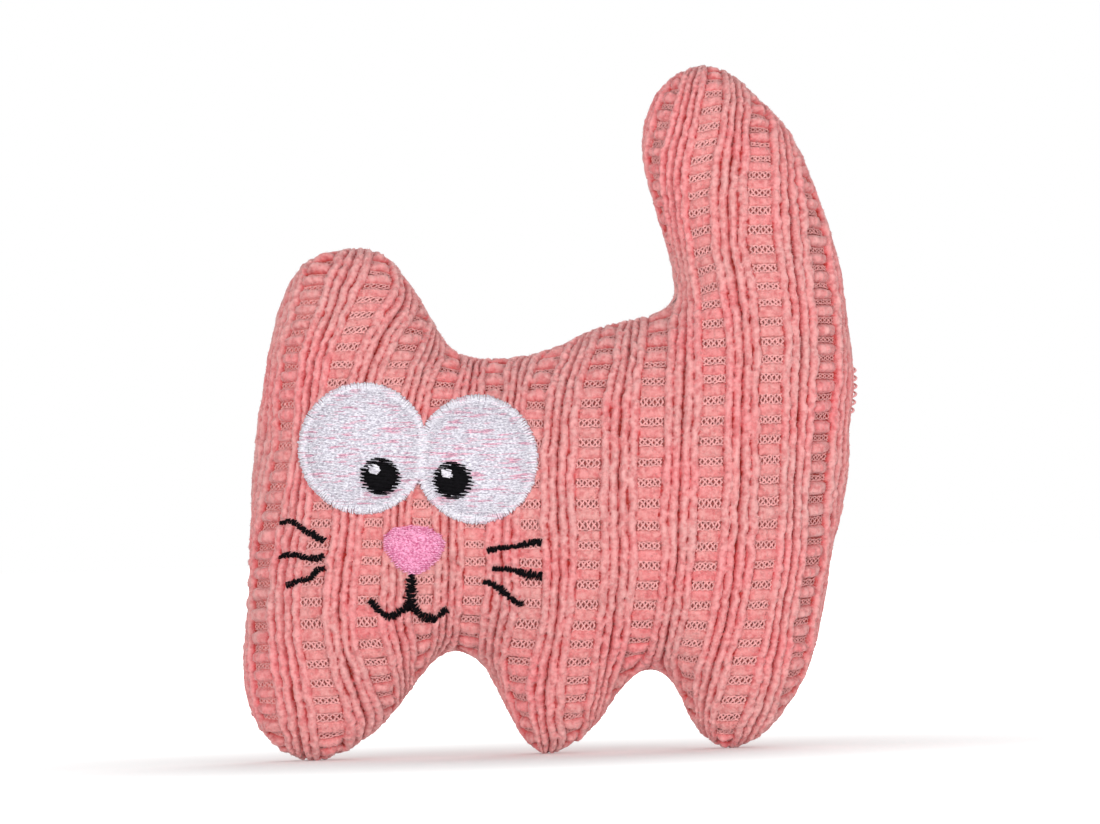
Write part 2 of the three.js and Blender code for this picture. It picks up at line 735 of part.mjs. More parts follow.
function fillings() {
  const recess = behindFace(clearance, backingInner - clearance, -coverThickness);
  const whole = between(panel, (p) => onPanel(p, -1, -seamOuter), panel, (p) => onPanel(p, 1, -seamOuter));
  const stuffing = toSolid(whole).subtract(seamGroove()).subtract(recess);
  const body = formSlab(bodyForm, 0);
  const aroundBody = formSlab(bodyForm, clearance);
  const head = formSlab(headForm, 0);
  const aroundHead = formSlab(headForm, clearance);
  const limbs = stuffing.subtract(aroundBody).subtract(aroundHead);
  const firstDivide = firstArchX + firstArchWidth / 2;
  const secondDivide = secondArchX + secondArchWidth / 2;
  const legTop = backHeight / 2;
  const neck = headWidth + backLength / 2;
  const half = clearance / 2;
  const limb = (left, right, low, high) => mainBody(limbs.intersect(zone(left, right, low, high)));
  return {
    body_filling: mainBody(stuffing.intersect(body)),
    head_filling: mainBody(stuffing.intersect(head).subtract(aroundBody)),
    ear_filling: limb(0, neck, legTop, topHeight),
    tail_filling: limb(neck, bodyLength, legTop, topHeight),
    front_leg_filling: limb(0, firstDivide - half, 0, legTop),
    middle_leg_filling: limb(firstDivide + half, secondDivide - half, 0, legTop),
    rear_leg_filling: limb(secondDivide + half, bodyLength, 0, legTop),
  };
}

const chenille = { color: '#e58f8b', roughness: 0.95, metalness: 0 };
const polyesterFibre = { color: '#f3f0ea', roughness: 1, metalness: 0 };
const pinkThread = { color: '#d97f7f', roughness: 0.7, metalness: 0 };
const stabiliser = { color: '#f7f6f2', roughness: 0.9, metalness: 0 };
const whiteThread = { color: '#ece6f0', roughness: 0.5, metalness: 0 };
const blackThread = { color: '#131013', roughness: 0.5, metalness: 0 };
const noseThread = { color: '#ee82bb', roughness: 0.5, metalness: 0 };

const cat = new THREE.Group();
cat.position.x = -bodyLength / 2;

function addPiece(name, geometry, finish) {
  const mesh = new THREE.Mesh(geometry, new THREE.MeshStandardMaterial(finish));
  mesh.name = name;
  cat.add(mesh);
}

const leftPupil = pupilCentre(leftEye, leftPupilShares);
const rightPupil = pupilCentre(rightEye, rightPupilShares);

addPiece('front_cover', cutAtGround(cover(-1)), chenille);
addPiece('back_cover', cutAtGround(cover(1)), chenille);
addPiece('overlocked_seam', overlockedSeam(), pinkThread);
addPiece('closing_stitches', closingStitchesThread(), pinkThread);
Object.entries(fillings()).forEach(([name, solid]) => addPiece(name, toGeometry(solid), polyesterFibre));
addPiece('embroidery_backing', toGeometry(behindFace(0, backingInner, backingOuter)), stabiliser);
addPiece('left_eye', eyePatch(eyeLoop(leftEye), leftPupil), whiteThread);
addPiece('right_eye', eyePatch(besideLeftEye(eyeLoop(rightEye)), rightPupil), whiteThread);
addPiece('left_pupil', pupilPatch(leftPupil), blackThread);
addPiece('right_pupil', pupilPatch(rightPupil), blackThread);
addPiece('left_eye_glint', glintPatch(leftPupil), whiteThread);
addPiece('right_eye_glint', glintPatch(rightPupil), whiteThread);
addPiece('nose', nose(), noseThread);
addPiece('mouth', mouth(), blackThread);
Object.entries(whiskerShares).forEach(([name, shares]) => addPiece(name, whisker(shares), blackThread));

export default cat;
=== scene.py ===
"""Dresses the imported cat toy: the stuffed body in its rib knit, the openwork threads between the
rungs, the embroidered face, the hand stitches in the rump, and the studio round it.
Lengths in the tables are millimetres; the objects are made in metres, in the frame's axes."""
import math

import bmesh
import bpy
import numpy as np
from mathutils import Matrix, Vector, geometry, kdtree
from mathutils.bvhtree import BVHTree


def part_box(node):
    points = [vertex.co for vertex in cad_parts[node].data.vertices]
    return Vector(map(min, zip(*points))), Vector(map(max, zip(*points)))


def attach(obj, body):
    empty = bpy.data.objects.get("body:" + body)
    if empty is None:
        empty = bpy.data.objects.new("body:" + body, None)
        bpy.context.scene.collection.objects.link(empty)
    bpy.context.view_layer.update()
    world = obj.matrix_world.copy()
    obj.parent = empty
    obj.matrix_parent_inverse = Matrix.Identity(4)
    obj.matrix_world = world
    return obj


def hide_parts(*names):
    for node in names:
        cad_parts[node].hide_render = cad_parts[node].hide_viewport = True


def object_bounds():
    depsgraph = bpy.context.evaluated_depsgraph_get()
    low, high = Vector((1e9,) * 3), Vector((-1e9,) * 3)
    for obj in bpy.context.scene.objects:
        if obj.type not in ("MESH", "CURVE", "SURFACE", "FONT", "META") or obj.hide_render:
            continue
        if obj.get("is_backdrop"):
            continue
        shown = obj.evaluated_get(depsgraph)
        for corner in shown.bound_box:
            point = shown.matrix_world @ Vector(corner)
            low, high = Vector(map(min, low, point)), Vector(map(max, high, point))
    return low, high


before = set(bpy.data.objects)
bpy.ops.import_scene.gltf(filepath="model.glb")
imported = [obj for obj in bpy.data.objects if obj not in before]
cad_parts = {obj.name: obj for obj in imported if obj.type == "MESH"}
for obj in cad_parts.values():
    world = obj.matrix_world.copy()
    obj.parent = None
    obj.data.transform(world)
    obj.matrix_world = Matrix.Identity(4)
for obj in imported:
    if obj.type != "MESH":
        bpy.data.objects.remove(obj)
cad_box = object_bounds()

bl_info = {
    "name": "Knitted cat toy",
    "version": (1, 0, 0),
    "blender": (4, 5, 0),
    "location": "3D View > Sidebar > Cat toy",
    "description": "Stuffed body in rib knit, embroidered face and studio",
    "category": "Object",
}

MM = 0.001
FRONT, BACK = -1, 1
BODY = "root"
# The cloth is simulated at ten times its size, for this many frames
SIM_SCALE, SIM_FRAMES = 10.0, 20
# The seed of each piece's random draws
SEEDS = {"openwork": 21, "eye": 31, "pupil": 41, "glint": 51, "nose": 61, "lines": 71, "pile": 81}

# The cat's edge, from under the front foot round by the face, the ear, the back and the tail
OUTLINE = [
    (-47.6, -0.5), (-54.2, 1.5), (-59.4, 6.8), (-62.0, 14.0), (-62.2, 22.0), (-60.8, 34.4), (-60.0, 46.4),
    (-59.0, 61.4), (-56.6, 74.7), (-53.8, 87.8), (-50.9, 95.3), (-47.0, 100.0), (-41.1, 101.9),
    (-35.3, 102.7), (-30.6, 100.5), (-26.3, 95.2), (-21.4, 86.4), (-18.9, 81.8), (-16.0, 80.0),
    (-10.4, 79.3), (-2.4, 80.1), (3.3, 81.7), (8.4, 84.1), (12.4, 85.6), (19.4, 86.7), (25.1, 88.2),
    (26.5, 89.8), (26.1, 94.8), (24.9, 100.9), (23.1, 107.5), (21.3, 114.4), (20.6, 120.0), (21.7, 127.0),
    (24.8, 132.7), (29.5, 136.0), (34.2, 136.9), (38.9, 135.3), (44.2, 130.3), (50.0, 124.1),
    (53.9, 116.2), (56.5, 108.3), (59.4, 99.4), (60.9, 88.8), (61.8, 78.7), (62.2, 71.1), (61.0, 63.8),
    (60.5, 55.2), (59.1, 47.2), (56.8, 38.9), (54.9, 28.5), (52.4, 18.0), (48.8, 10.7), (42.9, 3.2),
    (35.2, -0.5), (30.1, 1.5), (27.4, 5.1), (24.6, 11.4), (22.9, 14.7), (20.1, 16.4), (16.5, 15.5),
    (13.2, 11.8), (9.0, 5.9), (3.9, 1.6), (-2.2, -0.4), (-6.3, 2.4), (-9.3, 8.0), (-12.0, 14.1),
    (-15.2, 19.2), (-19.2, 21.2), (-23.0, 20.1), (-25.9, 16.6), (-30.1, 11.1), (-37.1, 4.1),
]
# How round the stuffing makes the edge
EDGE_RADIUS = 11.0

# The middles of the knit's ladders, numbered from the face to the tail
LADDERS = {
    1: [(-44.6, 99.6), (-47.7, 89.4), (-50.7, 82.1), (-51.8, 72.2), (-52.5, 63.2), (-55.2, 52.3),
        (-57.8, 40.3), (-58.9, 24.4), (-58.3, 16.3), (-56.1, 4.3)],
    2: [(-31.3, 97.6), (-34.4, 91.6), (-37.6, 85.7), (-40.4, 78.8), (-44.3, 61.9), (-45.4, 48.0),
        (-47.0, 40.0), (-48.0, 27.6), (-47.0, 19.4), (-45.4, 11.9), (-44.7, 3.9)],
    3: [(-23.5, 88.3), (-26.3, 83.4), (-29.3, 77.5), (-32.3, 63.6), (-35.0, 46.6), (-36.2, 34.7),
        (-36.8, 26.7), (-35.0, 19.0), (-32.9, 8.6)],
    4: [(-18.2, 79.1), (-20.0, 73.6), (-22.9, 61.3), (-25.1, 50.3), (-25.2, 34.3), (-25.8, 26.8),
        (-25.1, 23.3)],
    5: [(-9.8, 78.3), (-10.0, 72.9), (-12.6, 59.0), (-14.8, 45.0), (-15.7, 30.1), (-16.6, 21.1)],
    6: [(0.8, 78.6), (-2.1, 69.7), (-3.4, 58.7), (-3.8, 45.7), (-4.3, 29.7), (-5.9, 22.2), (-7.7, 14.8),
        (-7.0, 7.8)],
    7: [(13.0, 84.2), (9.8, 73.7), (8.5, 62.3), (7.7, 37.3), (6.2, 24.4), (5.3, 17.0), (3.9, 3.8)],
    8: [(26.4, 130.8), (23.5, 121.9), (22.8, 118.9), (22.8, 86.9), (21.5, 74.3), (20.6, 58.0), (19.9, 49.4),
        (19.7, 37.0), (18.0, 25.0), (16.4, 19.1)],
    9: [(35.9, 133.9), (34.2, 124.0), (31.8, 112.7), (32.2, 97.6), (33.5, 87.2), (33.9, 74.0), (32.9, 61.6),
        (31.8, 44.6), (30.4, 33.3), (28.1, 22.3), (26.3, 17.2)],
    10: [(45.0, 125.3), (44.3, 114.3), (44.2, 99.3), (45.5, 88.6), (45.3, 73.6), (44.4, 53.2), (43.4, 40.3),
         (41.7, 29.3), (39.0, 19.4), (35.5, 8.5), (33.5, 2.2)],
    11: [(55.1, 107.5), (56.3, 95.3), (57.2, 83.9), (56.9, 75.9), (55.3, 60.9), (53.9, 49.0), (53.6, 39.0),
         (51.3, 29.0), (49.3, 16.1), (48.2, 12.1)],
}
# How high each gap between two rungs is, from the ground up, on a ladder of the head and one of the tail
HEAD_ROWS = [3.9, 8.3, 11.9, 15.3, 19.3, 22.9, 27.5, 31.9, 35.9, 39.9, 42.9, 47.5, 50.9, 55.1, 59.1, 63.3,
             67.3, 71.5, 75.5, 78.9, 82.5, 85.9, 88.9, 91.9, 94.9, 97.9]
TAIL_ROWS = [2.0, 5.8, 9.4, 13.4, 17.4, 20.8, 24.4, 28.4, 32.4, 36.4, 40.4, 44.4, 49.0, 53.4, 57.4, 61.4,
             65.4, 69.4, 73.8, 77.4, 81.0, 85.0, 88.8, 91.9, 95.7, 99.3, 103.3, 107.3, 110.7, 114.3, 117.7,
             120.7, 123.9]
HEAD_LADDER, TAIL_LADDER = 2, 10
# How far apart the rows are past both ends of those tables
END_PITCH = 3.4
# How far the back panel's knit is shifted against the front's, in repeats across and in rows up
BACK_SHIFT = (0.37, 0.41)
# About how many millimetres a repeat and a row measure, so that a search weighs both alike
REPEAT_SIZE, ROW_SIZE = 12, 4
# The ladder whose rungs rise towards the back of the tail, above this height
TILTED_LADDER, TILTED_FROM = 9, 84.0
# The ladder along the face's edge, where the cloth is stretched and its gaps are shallow
SHALLOW_LADDER = 1
# How many openings a row of the openwork has, how many steps a thread takes over each, and a row's height
LOOPS, LOOP_STEPS, ROW_PITCH = 4, 6, 3.9
# How high the pile lies that the embroidery presses down, against the panel's mean surface
PRESSED = -0.35

# The face: centre and half size of each oval, in millimetres from the middle of the cat
SHIFT = -62.15
EYES = {"left_eye": (25.7, 62.1, 12.85, 13.05), "right_eye": (48.15, 59.2, 12.15, 12.75)}
PUPILS = {"left_pupil": (29.0, 56.4, 4.2, 3.85), "right_pupil": (43.3, 55.1, 4.15, 3.85)}
GLINTS = {"left_eye_glint": (27.9, 57.8, 1.05, 0.9), "right_eye_glint": (42.1, 56.5, 1.05, 0.85)}
NOSE = [(29.2, 43.1), (29.6, 44.6), (31.0, 45.9), (33.5, 46.4), (35.8, 46.4), (37.9, 46.0), (40.1, 44.6),
        (41.1, 43.3), (41.0, 41.8), (39.9, 39.8), (38.7, 38.5), (36.9, 37.3), (35.0, 36.8), (33.0, 37.5),
        (31.4, 38.9), (30.1, 41.0)]
# Each line of the mouth and each whisker: its points, and how wide its satin stitches are at each
MOUTH_RUNS = [
    ([(34.6, 37.0), (34.3, 33.6), (34.2, 30.6)], [1.2, 2.4, 2.5]),
    ([(34.2, 30.6), (32.9, 29.9), (31.4, 29.0), (29.8, 28.4), (28.4, 29.2), (27.3, 30.4), (25.9, 31.9)],
     [1.8, 1.6, 1.5, 1.5, 1.0, 1.5, 1.1]),
    ([(34.6, 30.2), (35.8, 28.8), (37.4, 27.9), (39.2, 27.5)], [1.7, 1.5, 1.7, 1.2]),
    ([(39.7, 28.2), (40.5, 29.0), (41.6, 29.6)], [0.8, 1.5, 1.0]),
]
WHISKERS = {
    "left_whisker_upper": ([(8.6, 47.8), (11.0, 47.9), (12.9, 46.5), (14.7, 45.4), (17.5, 43.9)],
                           [0.7, 1.0, 1.2, 1.8, 1.3]),
    "left_whisker_middle": ([(8.4, 41.0), (10.2, 41.4), (12.2, 41.1), (14.2, 40.6), (16.6, 40.6),
                             (16.9, 41.4)],
                            [0.7, 1.1, 1.0, 1.1, 1.2, 0.7]),
    "left_whisker_lower": ([(9.6, 35.2), (12.0, 36.1), (14.4, 36.6), (15.7, 38.0), (17.3, 38.5)],
                           [1.2, 1.0, 1.1, 1.3, 0.9]),
    "right_whisker_upper": ([(49.8, 41.0), (50.8, 41.2), (53.2, 41.5), (56.2, 41.8), (58.2, 42.3),
                             (60.6, 42.4)],
                            [1.7, 1.1, 0.9, 1.0, 1.5, 1.4]),
    "right_whisker_middle": ([(50.7, 37.3), (53.1, 37.3), (55.9, 36.6), (57.4, 36.1), (60.4, 35.6)],
                             [0.9, 1.0, 1.1, 2.1, 1.5]),
    "right_whisker_lower": ([(48.8, 34.8), (50.6, 34.3), (52.9, 32.5), (54.9, 30.8), (56.3, 30.0)],
                            [0.8, 1.4, 1.5, 1.1, 1.2]),
}

# What one operator makes and a later one needs
shape = {}
finishes = {}


# Curves and fields

def smooth_curve(points, per_span, closed=False):
    """A centripetal Catmull-Rom curve through the points."""
    p = np.array(points, float)
    if closed:
        p = np.vstack([p[-1:], p, p[:2]])
    else:
        p = np.vstack([2 * p[0] - p[1], p, 2 * p[-1] - p[-2]])
    made = []
    for a, b, c, d in zip(p, p[1:], p[2:], p[3:]):
        knots = np.cumsum([0] + [np.linalg.norm(w - v) ** 0.5 for v, w in ((a, b), (b, c), (c, d))])
        t0, t1, t2, t3 = knots
        t = np.linspace(t1, t2, per_span, endpoint=False)[:, None]
        ab = ((t1 - t) * a + (t - t0) * b) / (t1 - t0)
        bc = ((t2 - t) * b + (t - t1) * c) / (t2 - t1)
        cd = ((t3 - t) * c + (t - t2) * d) / (t3 - t2)
        abc = ((t2 - t) * ab + (t - t0) * bc) / (t2 - t0)
        bcd = ((t3 - t) * bc + (t - t1) * cd) / (t3 - t1)
        made.append(((t2 - t) * abc + (t - t1) * bcd) / (t2 - t1))
    return np.concatenate(made if closed else made + [p[-2:-1]])


def segments(loop, points):
    """Each segment of a loop as a point sees it: where it starts, how far off its line is, its length."""
    along = np.roll(loop, -1, 0) - loop
    length = np.hypot(*along.T)
    unit = along / length[:, None]
    rel = loop[None] - points[:, None]
    start = (rel * unit).sum(2)
    off = rel[..., 0] * unit[:, 1] - rel[..., 1] * unit[:, 0]
    return start, np.where(np.abs(off) < 1e-9, 1e-9, off), length


def swelling(points, loop):
    """How far the stuffing pushes at each point inside the loop. By the edge it is the distance to it."""
    start, off, length = segments(loop, points)
    near, far = start / np.hypot(start, off), (start + length) / np.hypot(start + length, off)
    return 2 / np.abs(((far - near) / off).sum(1))


def edge_distance(points, loop):
    """How far each point is from the loop."""
    start, off, length = segments(loop, points)
    short = np.clip(-start, 0, length)
    return np.hypot(start + short, off).min(1)


def is_inside(points, loop):
    """Whether each point lies inside the loop."""
    x, z = points.T[:, :, None]
    (ax, az), (bx, bz) = loop.T, np.roll(loop, -1, 0).T
    crosses = (az > z) != (bz > z)
    at = ax + (z - az) * (bx - ax) / np.where(bz == az, 1e-9, bz - az)
    return (crosses & (x < at)).sum(1) % 2 == 1


def plump(points, loop):
    """Half the stuffed thickness over each point."""
    return np.sqrt(2 * EDGE_RADIUS * swelling(points, loop))


def spare(tilt):
    """How much further the cloth runs than its picture shows, where it has turned away by this angle."""
    return EDGE_RADIUS * (tilt - np.sin(tilt))


def thin_plate(points, values, give):
    """A smooth field over the plane that passes the given values, the closer the less it may give."""
    pts = np.array(points, float)

    def bend(q):
        square = ((q[:, None] - pts[None]) ** 2).sum(2)
        return 0.5 * square * np.log(square + 1e-12)

    count = len(pts)
    flat = np.column_stack([np.ones(count), pts])
    matrix = np.zeros((count + 3, count + 3))
    matrix[:count, :count] = bend(pts) + give * np.eye(count)
    matrix[:count, count:], matrix[count:, :count] = flat, flat.T
    found = np.linalg.solve(matrix, np.append(values, np.zeros(3)))
    return lambda q: bend(q) @ found[:count] + found[count] + q @ found[count + 1:]


def noise(x, y, seed):
    """Smooth seeded noise from -1 to 1 over the plane."""
    size = 256
    table = np.random.default_rng(seed).uniform(-1, 1, (size, size))
    xi, yi = np.floor(x).astype(int), np.floor(y).astype(int)
    fx, fy = x - xi, y - yi
    fx, fy = fx * fx * (3 - 2 * fx), fy * fy * (3 - 2 * fy)

    def at(i, j):
        return table[(xi + i) % size, (yi + j) % size]

    low = at(0, 0) * (1 - fx) + at(1, 0) * fx
    high = at(0, 1) * (1 - fx) + at(1, 1) * fx
    return low * (1 - fy) + high * fy


def layered(x, y, *layers, start=0):
    """Noise in layers, each with its height, its waves to a unit of x and of y, and its seed."""
    return sum((high * noise(x * wide, y * tall, seed) for high, wide, tall, seed in layers), start)


def ease(t):
    """A smooth rise from 0 to 1."""
    t = np.clip(t, 0, 1)
    return t * t * (3 - 2 * t)


def rows_at(rows, z):
    """Which row of the knit lies at each height, carried on past both ends of the table."""
    more = 5
    spread = np.array([rows[0] - more * END_PITCH, *rows, rows[-1] + more * END_PITCH])
    return np.interp(z, spread, [-more, *range(len(rows)), len(rows) - 1 + more])


def unit(vectors):
    return vectors / np.linalg.norm(vectors, axis=1)[:, None]


# Meshes

def linked(name, mesh):
    made = bpy.data.objects.new(name, mesh)
    bpy.context.scene.collection.objects.link(made)
    return made


def removed(obj):
    data = obj.data
    bpy.data.objects.remove(obj)
    if isinstance(data, bpy.types.Curve):
        bpy.data.curves.remove(data)


def settled(obj, name):
    """The object's mesh with its modifiers or its bevel applied, as a new object in its place."""
    graph = bpy.context.evaluated_depsgraph_get()
    mesh = bpy.data.meshes.new_from_object(obj.evaluated_get(graph), depsgraph=graph)
    removed(obj)
    mesh.name = name
    return linked(name, mesh)


def meshed(name, bm):
    mesh = bpy.data.meshes.new(name)
    bm.to_mesh(mesh)
    bm.free()
    return mesh


def values_of(items, name, width=1, kind=np.float32):
    """One property of all the points, corners or faces of a mesh."""
    found = np.empty(len(items) * width, kind)
    items.foreach_get(name, found)
    return found.reshape(-1, width) if width > 1 else found


def points_of(mesh, what="co"):
    return values_of(mesh.vertices, what, 3).astype(float)


def painted(mesh, name, values):
    """Gives each point of the mesh a number that its material reads."""
    values = np.array(values, np.float32).ravel()
    mesh.attributes.new(name, "FLOAT", "POINT").data.foreach_set("value", values)


def dressed(obj, material, slot, *nodes):
    """Gives a finished piece its material and its body, and lets it stand for its CAD nodes. Its slot is not
    used.
    """
    obj.data.materials.clear()
    obj.data.materials.append(material)
    obj.data.shade_smooth()
    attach(obj, BODY)
    if nodes:
        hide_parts(*nodes)
    return obj


# Materials

def linear(colour):
    return (*[c / 12.92 if c <= 0.04045 else ((c + 0.055) / 1.055) ** 2.4 for c in colour[:3]], 1)


def fed(tree, target, inputs):
    """Gives each input of a node its value, or links it to the output it is given."""
    for socket, value in inputs.items():
        if isinstance(value, bpy.types.NodeSocket):
            tree.links.new(value, target.inputs[socket])
        else:
            target.inputs[socket].default_value = value
    return target


def node(tree, kind, inputs=None, **settings):
    made = tree.nodes.new(kind)
    for name, value in settings.items():
        setattr(made, name, value)
    return fed(tree, made, inputs or {})


class Finish:
    """The material of a cloth or a thread while its nodes are put together."""

    def __init__(self, name, roughness, sheen, sheen_tint, specular):
        self.material = bpy.data.materials.new(name)
        self.material.use_nodes = True
        self.tree = self.material.node_tree
        self.shader = fed(self.tree, self.tree.nodes["Principled BSDF"], {
            "Roughness": roughness, "Specular IOR Level": specular, "Sheen Weight": sheen,
            "Sheen Roughness": 0.45, "Sheen Tint": sheen_tint})

    def noise(self, scale, detail, stretch=None):
        """A noise texture on the piece's own Object coordinates, with its scale in waves to the metre."""
        place = node(self.tree, "ShaderNodeTexCoord").outputs["Object"]
        if stretch:
            stretched = {"Vector": place, "Scale": stretch}
            place = node(self.tree, "ShaderNodeMapping", stretched).outputs["Vector"]
        waves = {"Vector": place, "Scale": scale, "Detail": detail}
        return node(self.tree, "ShaderNodeTexNoise", waves).outputs["Fac"]

    def painted(self, name):
        """The numbers that the points of the mesh carry under a name."""
        return node(self.tree, "ShaderNodeAttribute", attribute_name=name).outputs["Fac"]

    def ramp(self, factor, stops):
        made = node(self.tree, "ShaderNodeValToRGB", {"Fac": factor})
        made.color_ramp.elements.remove(made.color_ramp.elements[1])
        for i, (position, colour) in enumerate(stops):
            stop = made.color_ramp.elements[0] if i == 0 else made.color_ramp.elements.new(position)
            stop.position, stop.color = position, linear(colour)
        return made.outputs["Color"]

    def mixed(self, factor, a, b, blend="MIX"):
        colours = {0: factor, 6: a, 7: b}
        return node(self.tree, "ShaderNodeMix", colours, data_type="RGBA", blend_type=blend).outputs[2]

    def finished(self, tone, height, strength, distance):
        """The material with its colour and the bump of its fibres linked."""
        bump = node(self.tree, "ShaderNodeBump", {
            "Strength": strength, "Distance": distance, "Height": height}).outputs["Normal"]
        fed(self.tree, self.shader, {"Base Color": tone, "Normal": bump})
        return self.material


def chenille(knit):
    """Short velvet pile, with painted shade and painted highlight: paler where it lies open to the light,
    darker and warmer down in the grooves.
    """
    made = Finish("velvet_chenille", 0.95, knit.sheen, (1.0, 0.86, 0.84, 1), 0.1)
    # Painted shade and painted highlight: by how open each point lies to the light, the grooves and the
    # cords' sides are painted darker and their round tops paler
    tone = made.ramp(made.painted("pile"), [
        (0.0, knit.groove_shade_colour), (0.28, knit.side_shade_colour), (0.6, knit.pile_colour), (0.9, knit.lit_tip_colour)])
    # The ladder floor's colour is mixed in where its gaps are deep, as painted shade of the recess, and a
    # little over the rung tops
    tone = made.mixed(made.painted("bare"), tone, linear(knit.shaded_floor_colour))
    clouds = made.ramp(made.noise(70, 3), [
        (0.36, (1.0, 0.925, 0.94)), (0.5, (0.985, 0.975, 0.975)), (0.64, (0.965, 1.0, 0.995))])
    tone = made.mixed(1.0, tone, clouds, "MULTIPLY")
    mottle = made.ramp(made.noise(900, 4), [
        (0.36, (0.92, 0.79, 0.8)), (0.5, (0.975, 0.94, 0.94)), (0.62, (1.0, 1.0, 1.0))])
    tone = made.mixed(1.0, tone, mottle, "MULTIPLY")
    lit = made.ramp(made.noise(1500, 3), [(0.58, (0, 0, 0)), (0.74, (0.55, 0.55, 0.55))])
    tone = made.mixed(lit, tone, linear(knit.glint_colour))
    return made.finished(tone, made.noise(1900, 4), 0.8, 0.4 * MM)


def thread(name, colour, shadow, sheen=0.3, roughness=0.55, waves=2200, specular=0.3, stretch=None,
           streak=None):
    """Spun embroidery thread: lighter and darker along each strand, and streaky where it is asked for."""
    made = Finish(name, roughness, sheen, (1, 1, 1, 1), specular)
    tone = made.ramp(made.noise(waves, 3, stretch), [(0.36, shadow), (0.6, colour)])
    if streak:
        mask = made.ramp(made.noise(700, 4, (0.35, 1, 3)), [(0.54, (0, 0, 0)), (0.64, (1, 1, 1))])
        tone = made.mixed(mask, tone, linear(streak), "MULTIPLY")
        tone = made.mixed(made.painted("border"), tone, linear(colour))
    return made.finished(tone, made.noise(5200, 2), 0.35, 0.12 * MM)


# Sizes and colours

def length_property(name, description, default):
    return bpy.props.FloatProperty(
        name=name, description=description, default=default * MM, min=0, precision=5, subtype="DISTANCE",
        unit="LENGTH")


def colour_property(name, description, default):
    return bpy.props.FloatVectorProperty(
        name=name, description=description, default=[c / 255 for c in default], size=3, min=0, max=1,
        subtype="COLOR_GAMMA")


def share_property(name, description, default):
    return bpy.props.FloatProperty(
        name=name, description=description, default=default, min=0, max=1, subtype="FACTOR")


class KnitSettings(bpy.types.PropertyGroup):
    """The rib knit: cords, ladders between them, and their colours"""
    voxel: length_property("Mesh step", "How fine the cloth is before it is subdivided", 2.4)
    slack: share_property("Slack", "How much flatter the skin is before it is blown up", 0.04)
    pressure: bpy.props.FloatProperty(
        name="Pressure", description="How hard the stuffing pushes", default=4.0)
    seam_hold: length_property("Seam hold", "How far from the seam the skin is held still", 1.6)
    give: length_property("Give", "How far the stuffing may push the skin", 1.2)
    lap: length_property("Seam lap", "How far each panel's closed edge reaches past the seam", 0.02)
    cord_rise: length_property("Cord height", "How far a cord stands over the mean surface", 0.4)
    cord_depth: length_property("Cord depth", "How far a cord stands over the groove beside it", 1.15)
    groove_depth: length_property("Middle groove", "How much deeper a rib's middle groove is", 0.75)
    ladder_depth: length_property("Ladder depth", "How far its floor lies under the mean surface", 1.1)
    rung_rise: length_property("Rung height", "How far a rung stands over the ladder's floor", 0.95)
    ladder_share: share_property("Ladder share", "Half a ladder's width, as a share of the repeat", 0.19)
    rung_share: share_property("Rung share", "Half a rung's height, as a share of the row", 0.25)
    sheen: share_property("Sheen", "How much the velvet pile lights up where it turns away", 0.55)
    # The cords' colours from the top down into the grooves: the tops painted paler as painted highlight, the
    # sides and grooves painted darker as painted shade
    pile_colour: colour_property("Pile", "The cords' colour", (229, 150, 150))
    lit_tip_colour: colour_property("Tips", "The colour of the cords' tops", (234, 168, 166))
    side_shade_colour: colour_property("Sides", "The colour of the cords' sides", (218, 106, 108))
    groove_shade_colour: colour_property("Grooves", "The colour down between the cords", (176, 56, 44))
    # The ladder floor's colour, darker than the cords: partly the cloth's own tone, partly painted shade of
    # the deep gaps
    shaded_floor_colour: colour_property("Ladder floor", "The cloth behind the thin threads", (206, 122, 114))
    glint_colour: colour_property("Lit fibres", "The fibre ends that catch the light", (246, 196, 193))
    tuft_count: bpy.props.IntProperty(
        name="Tufts", description="How many tufts of pile a panel has", default=45000)
    tuft_length: length_property("Tuft length", "How far a tuft of pile stands up", 0.62)
    tuft_girth: length_property("Tuft girth", "How thick a tuft of pile is at its root", 0.16)
    lace_colour: colour_property("Openwork colour", "The thin threads between the rungs", (234, 167, 165))
    lace_thread: length_property("Openwork thread", "How thick the thin threads are", 0.46)


class FaceSettings(bpy.types.PropertyGroup):
    """The embroidered face"""
    thread: length_property("Thread", "How thick the embroidery thread is", 0.3)
    row: length_property("Row", "How far apart the rows of a filled shape are", 0.33)
    stitch: length_property("Stitch", "How long a stitch of an eye's filling is", 3.6)
    border: length_property("Border", "How wide the eye's satin border is", 1.7)
    lift: length_property("Lift", "How far an eye stands over the panel", 0.55)
    white: colour_property("Eye white", "The eyes' colour", (238, 236, 243))
    white_shadow: colour_property("Eye shadow", "The eyes' colour between strands", (174, 168, 181))
    streak: colour_property("Eye streaks", "The pink that tints some of the rows", (252, 196, 210))
    black: colour_property("Black", "The colour of the pupils, mouth and whiskers", (14, 12, 16))
    nose: colour_property("Nose", "The nose's colour", (247, 178, 212))
    nose_shadow: colour_property("Nose shadow", "The nose's colour between strands", (204, 92, 140))


class StageSettings(bpy.types.PropertyGroup):
    """The camera and the light"""
    distance: length_property("Camera distance", "From the camera to the seam's plane", 3000)
    roll: bpy.props.FloatProperty(
        name="Camera roll", description="How far the picture is turned", default=math.radians(1.73),
        subtype="ANGLE", unit="ROTATION")
    columns: bpy.props.IntProperty(
        name="Columns", description="How many columns the picture has", default=1100)
    pixel: length_property("Picture scale", "What one column of the picture spans", 0.2)
    room: bpy.props.FloatProperty(
        name="Room light", description="The even light from all round", default=0.52, min=0)
    key: bpy.props.FloatProperty(
        name="Key light", description="The low strip light beside the camera, in watts", default=8.45)


# The stuffed body

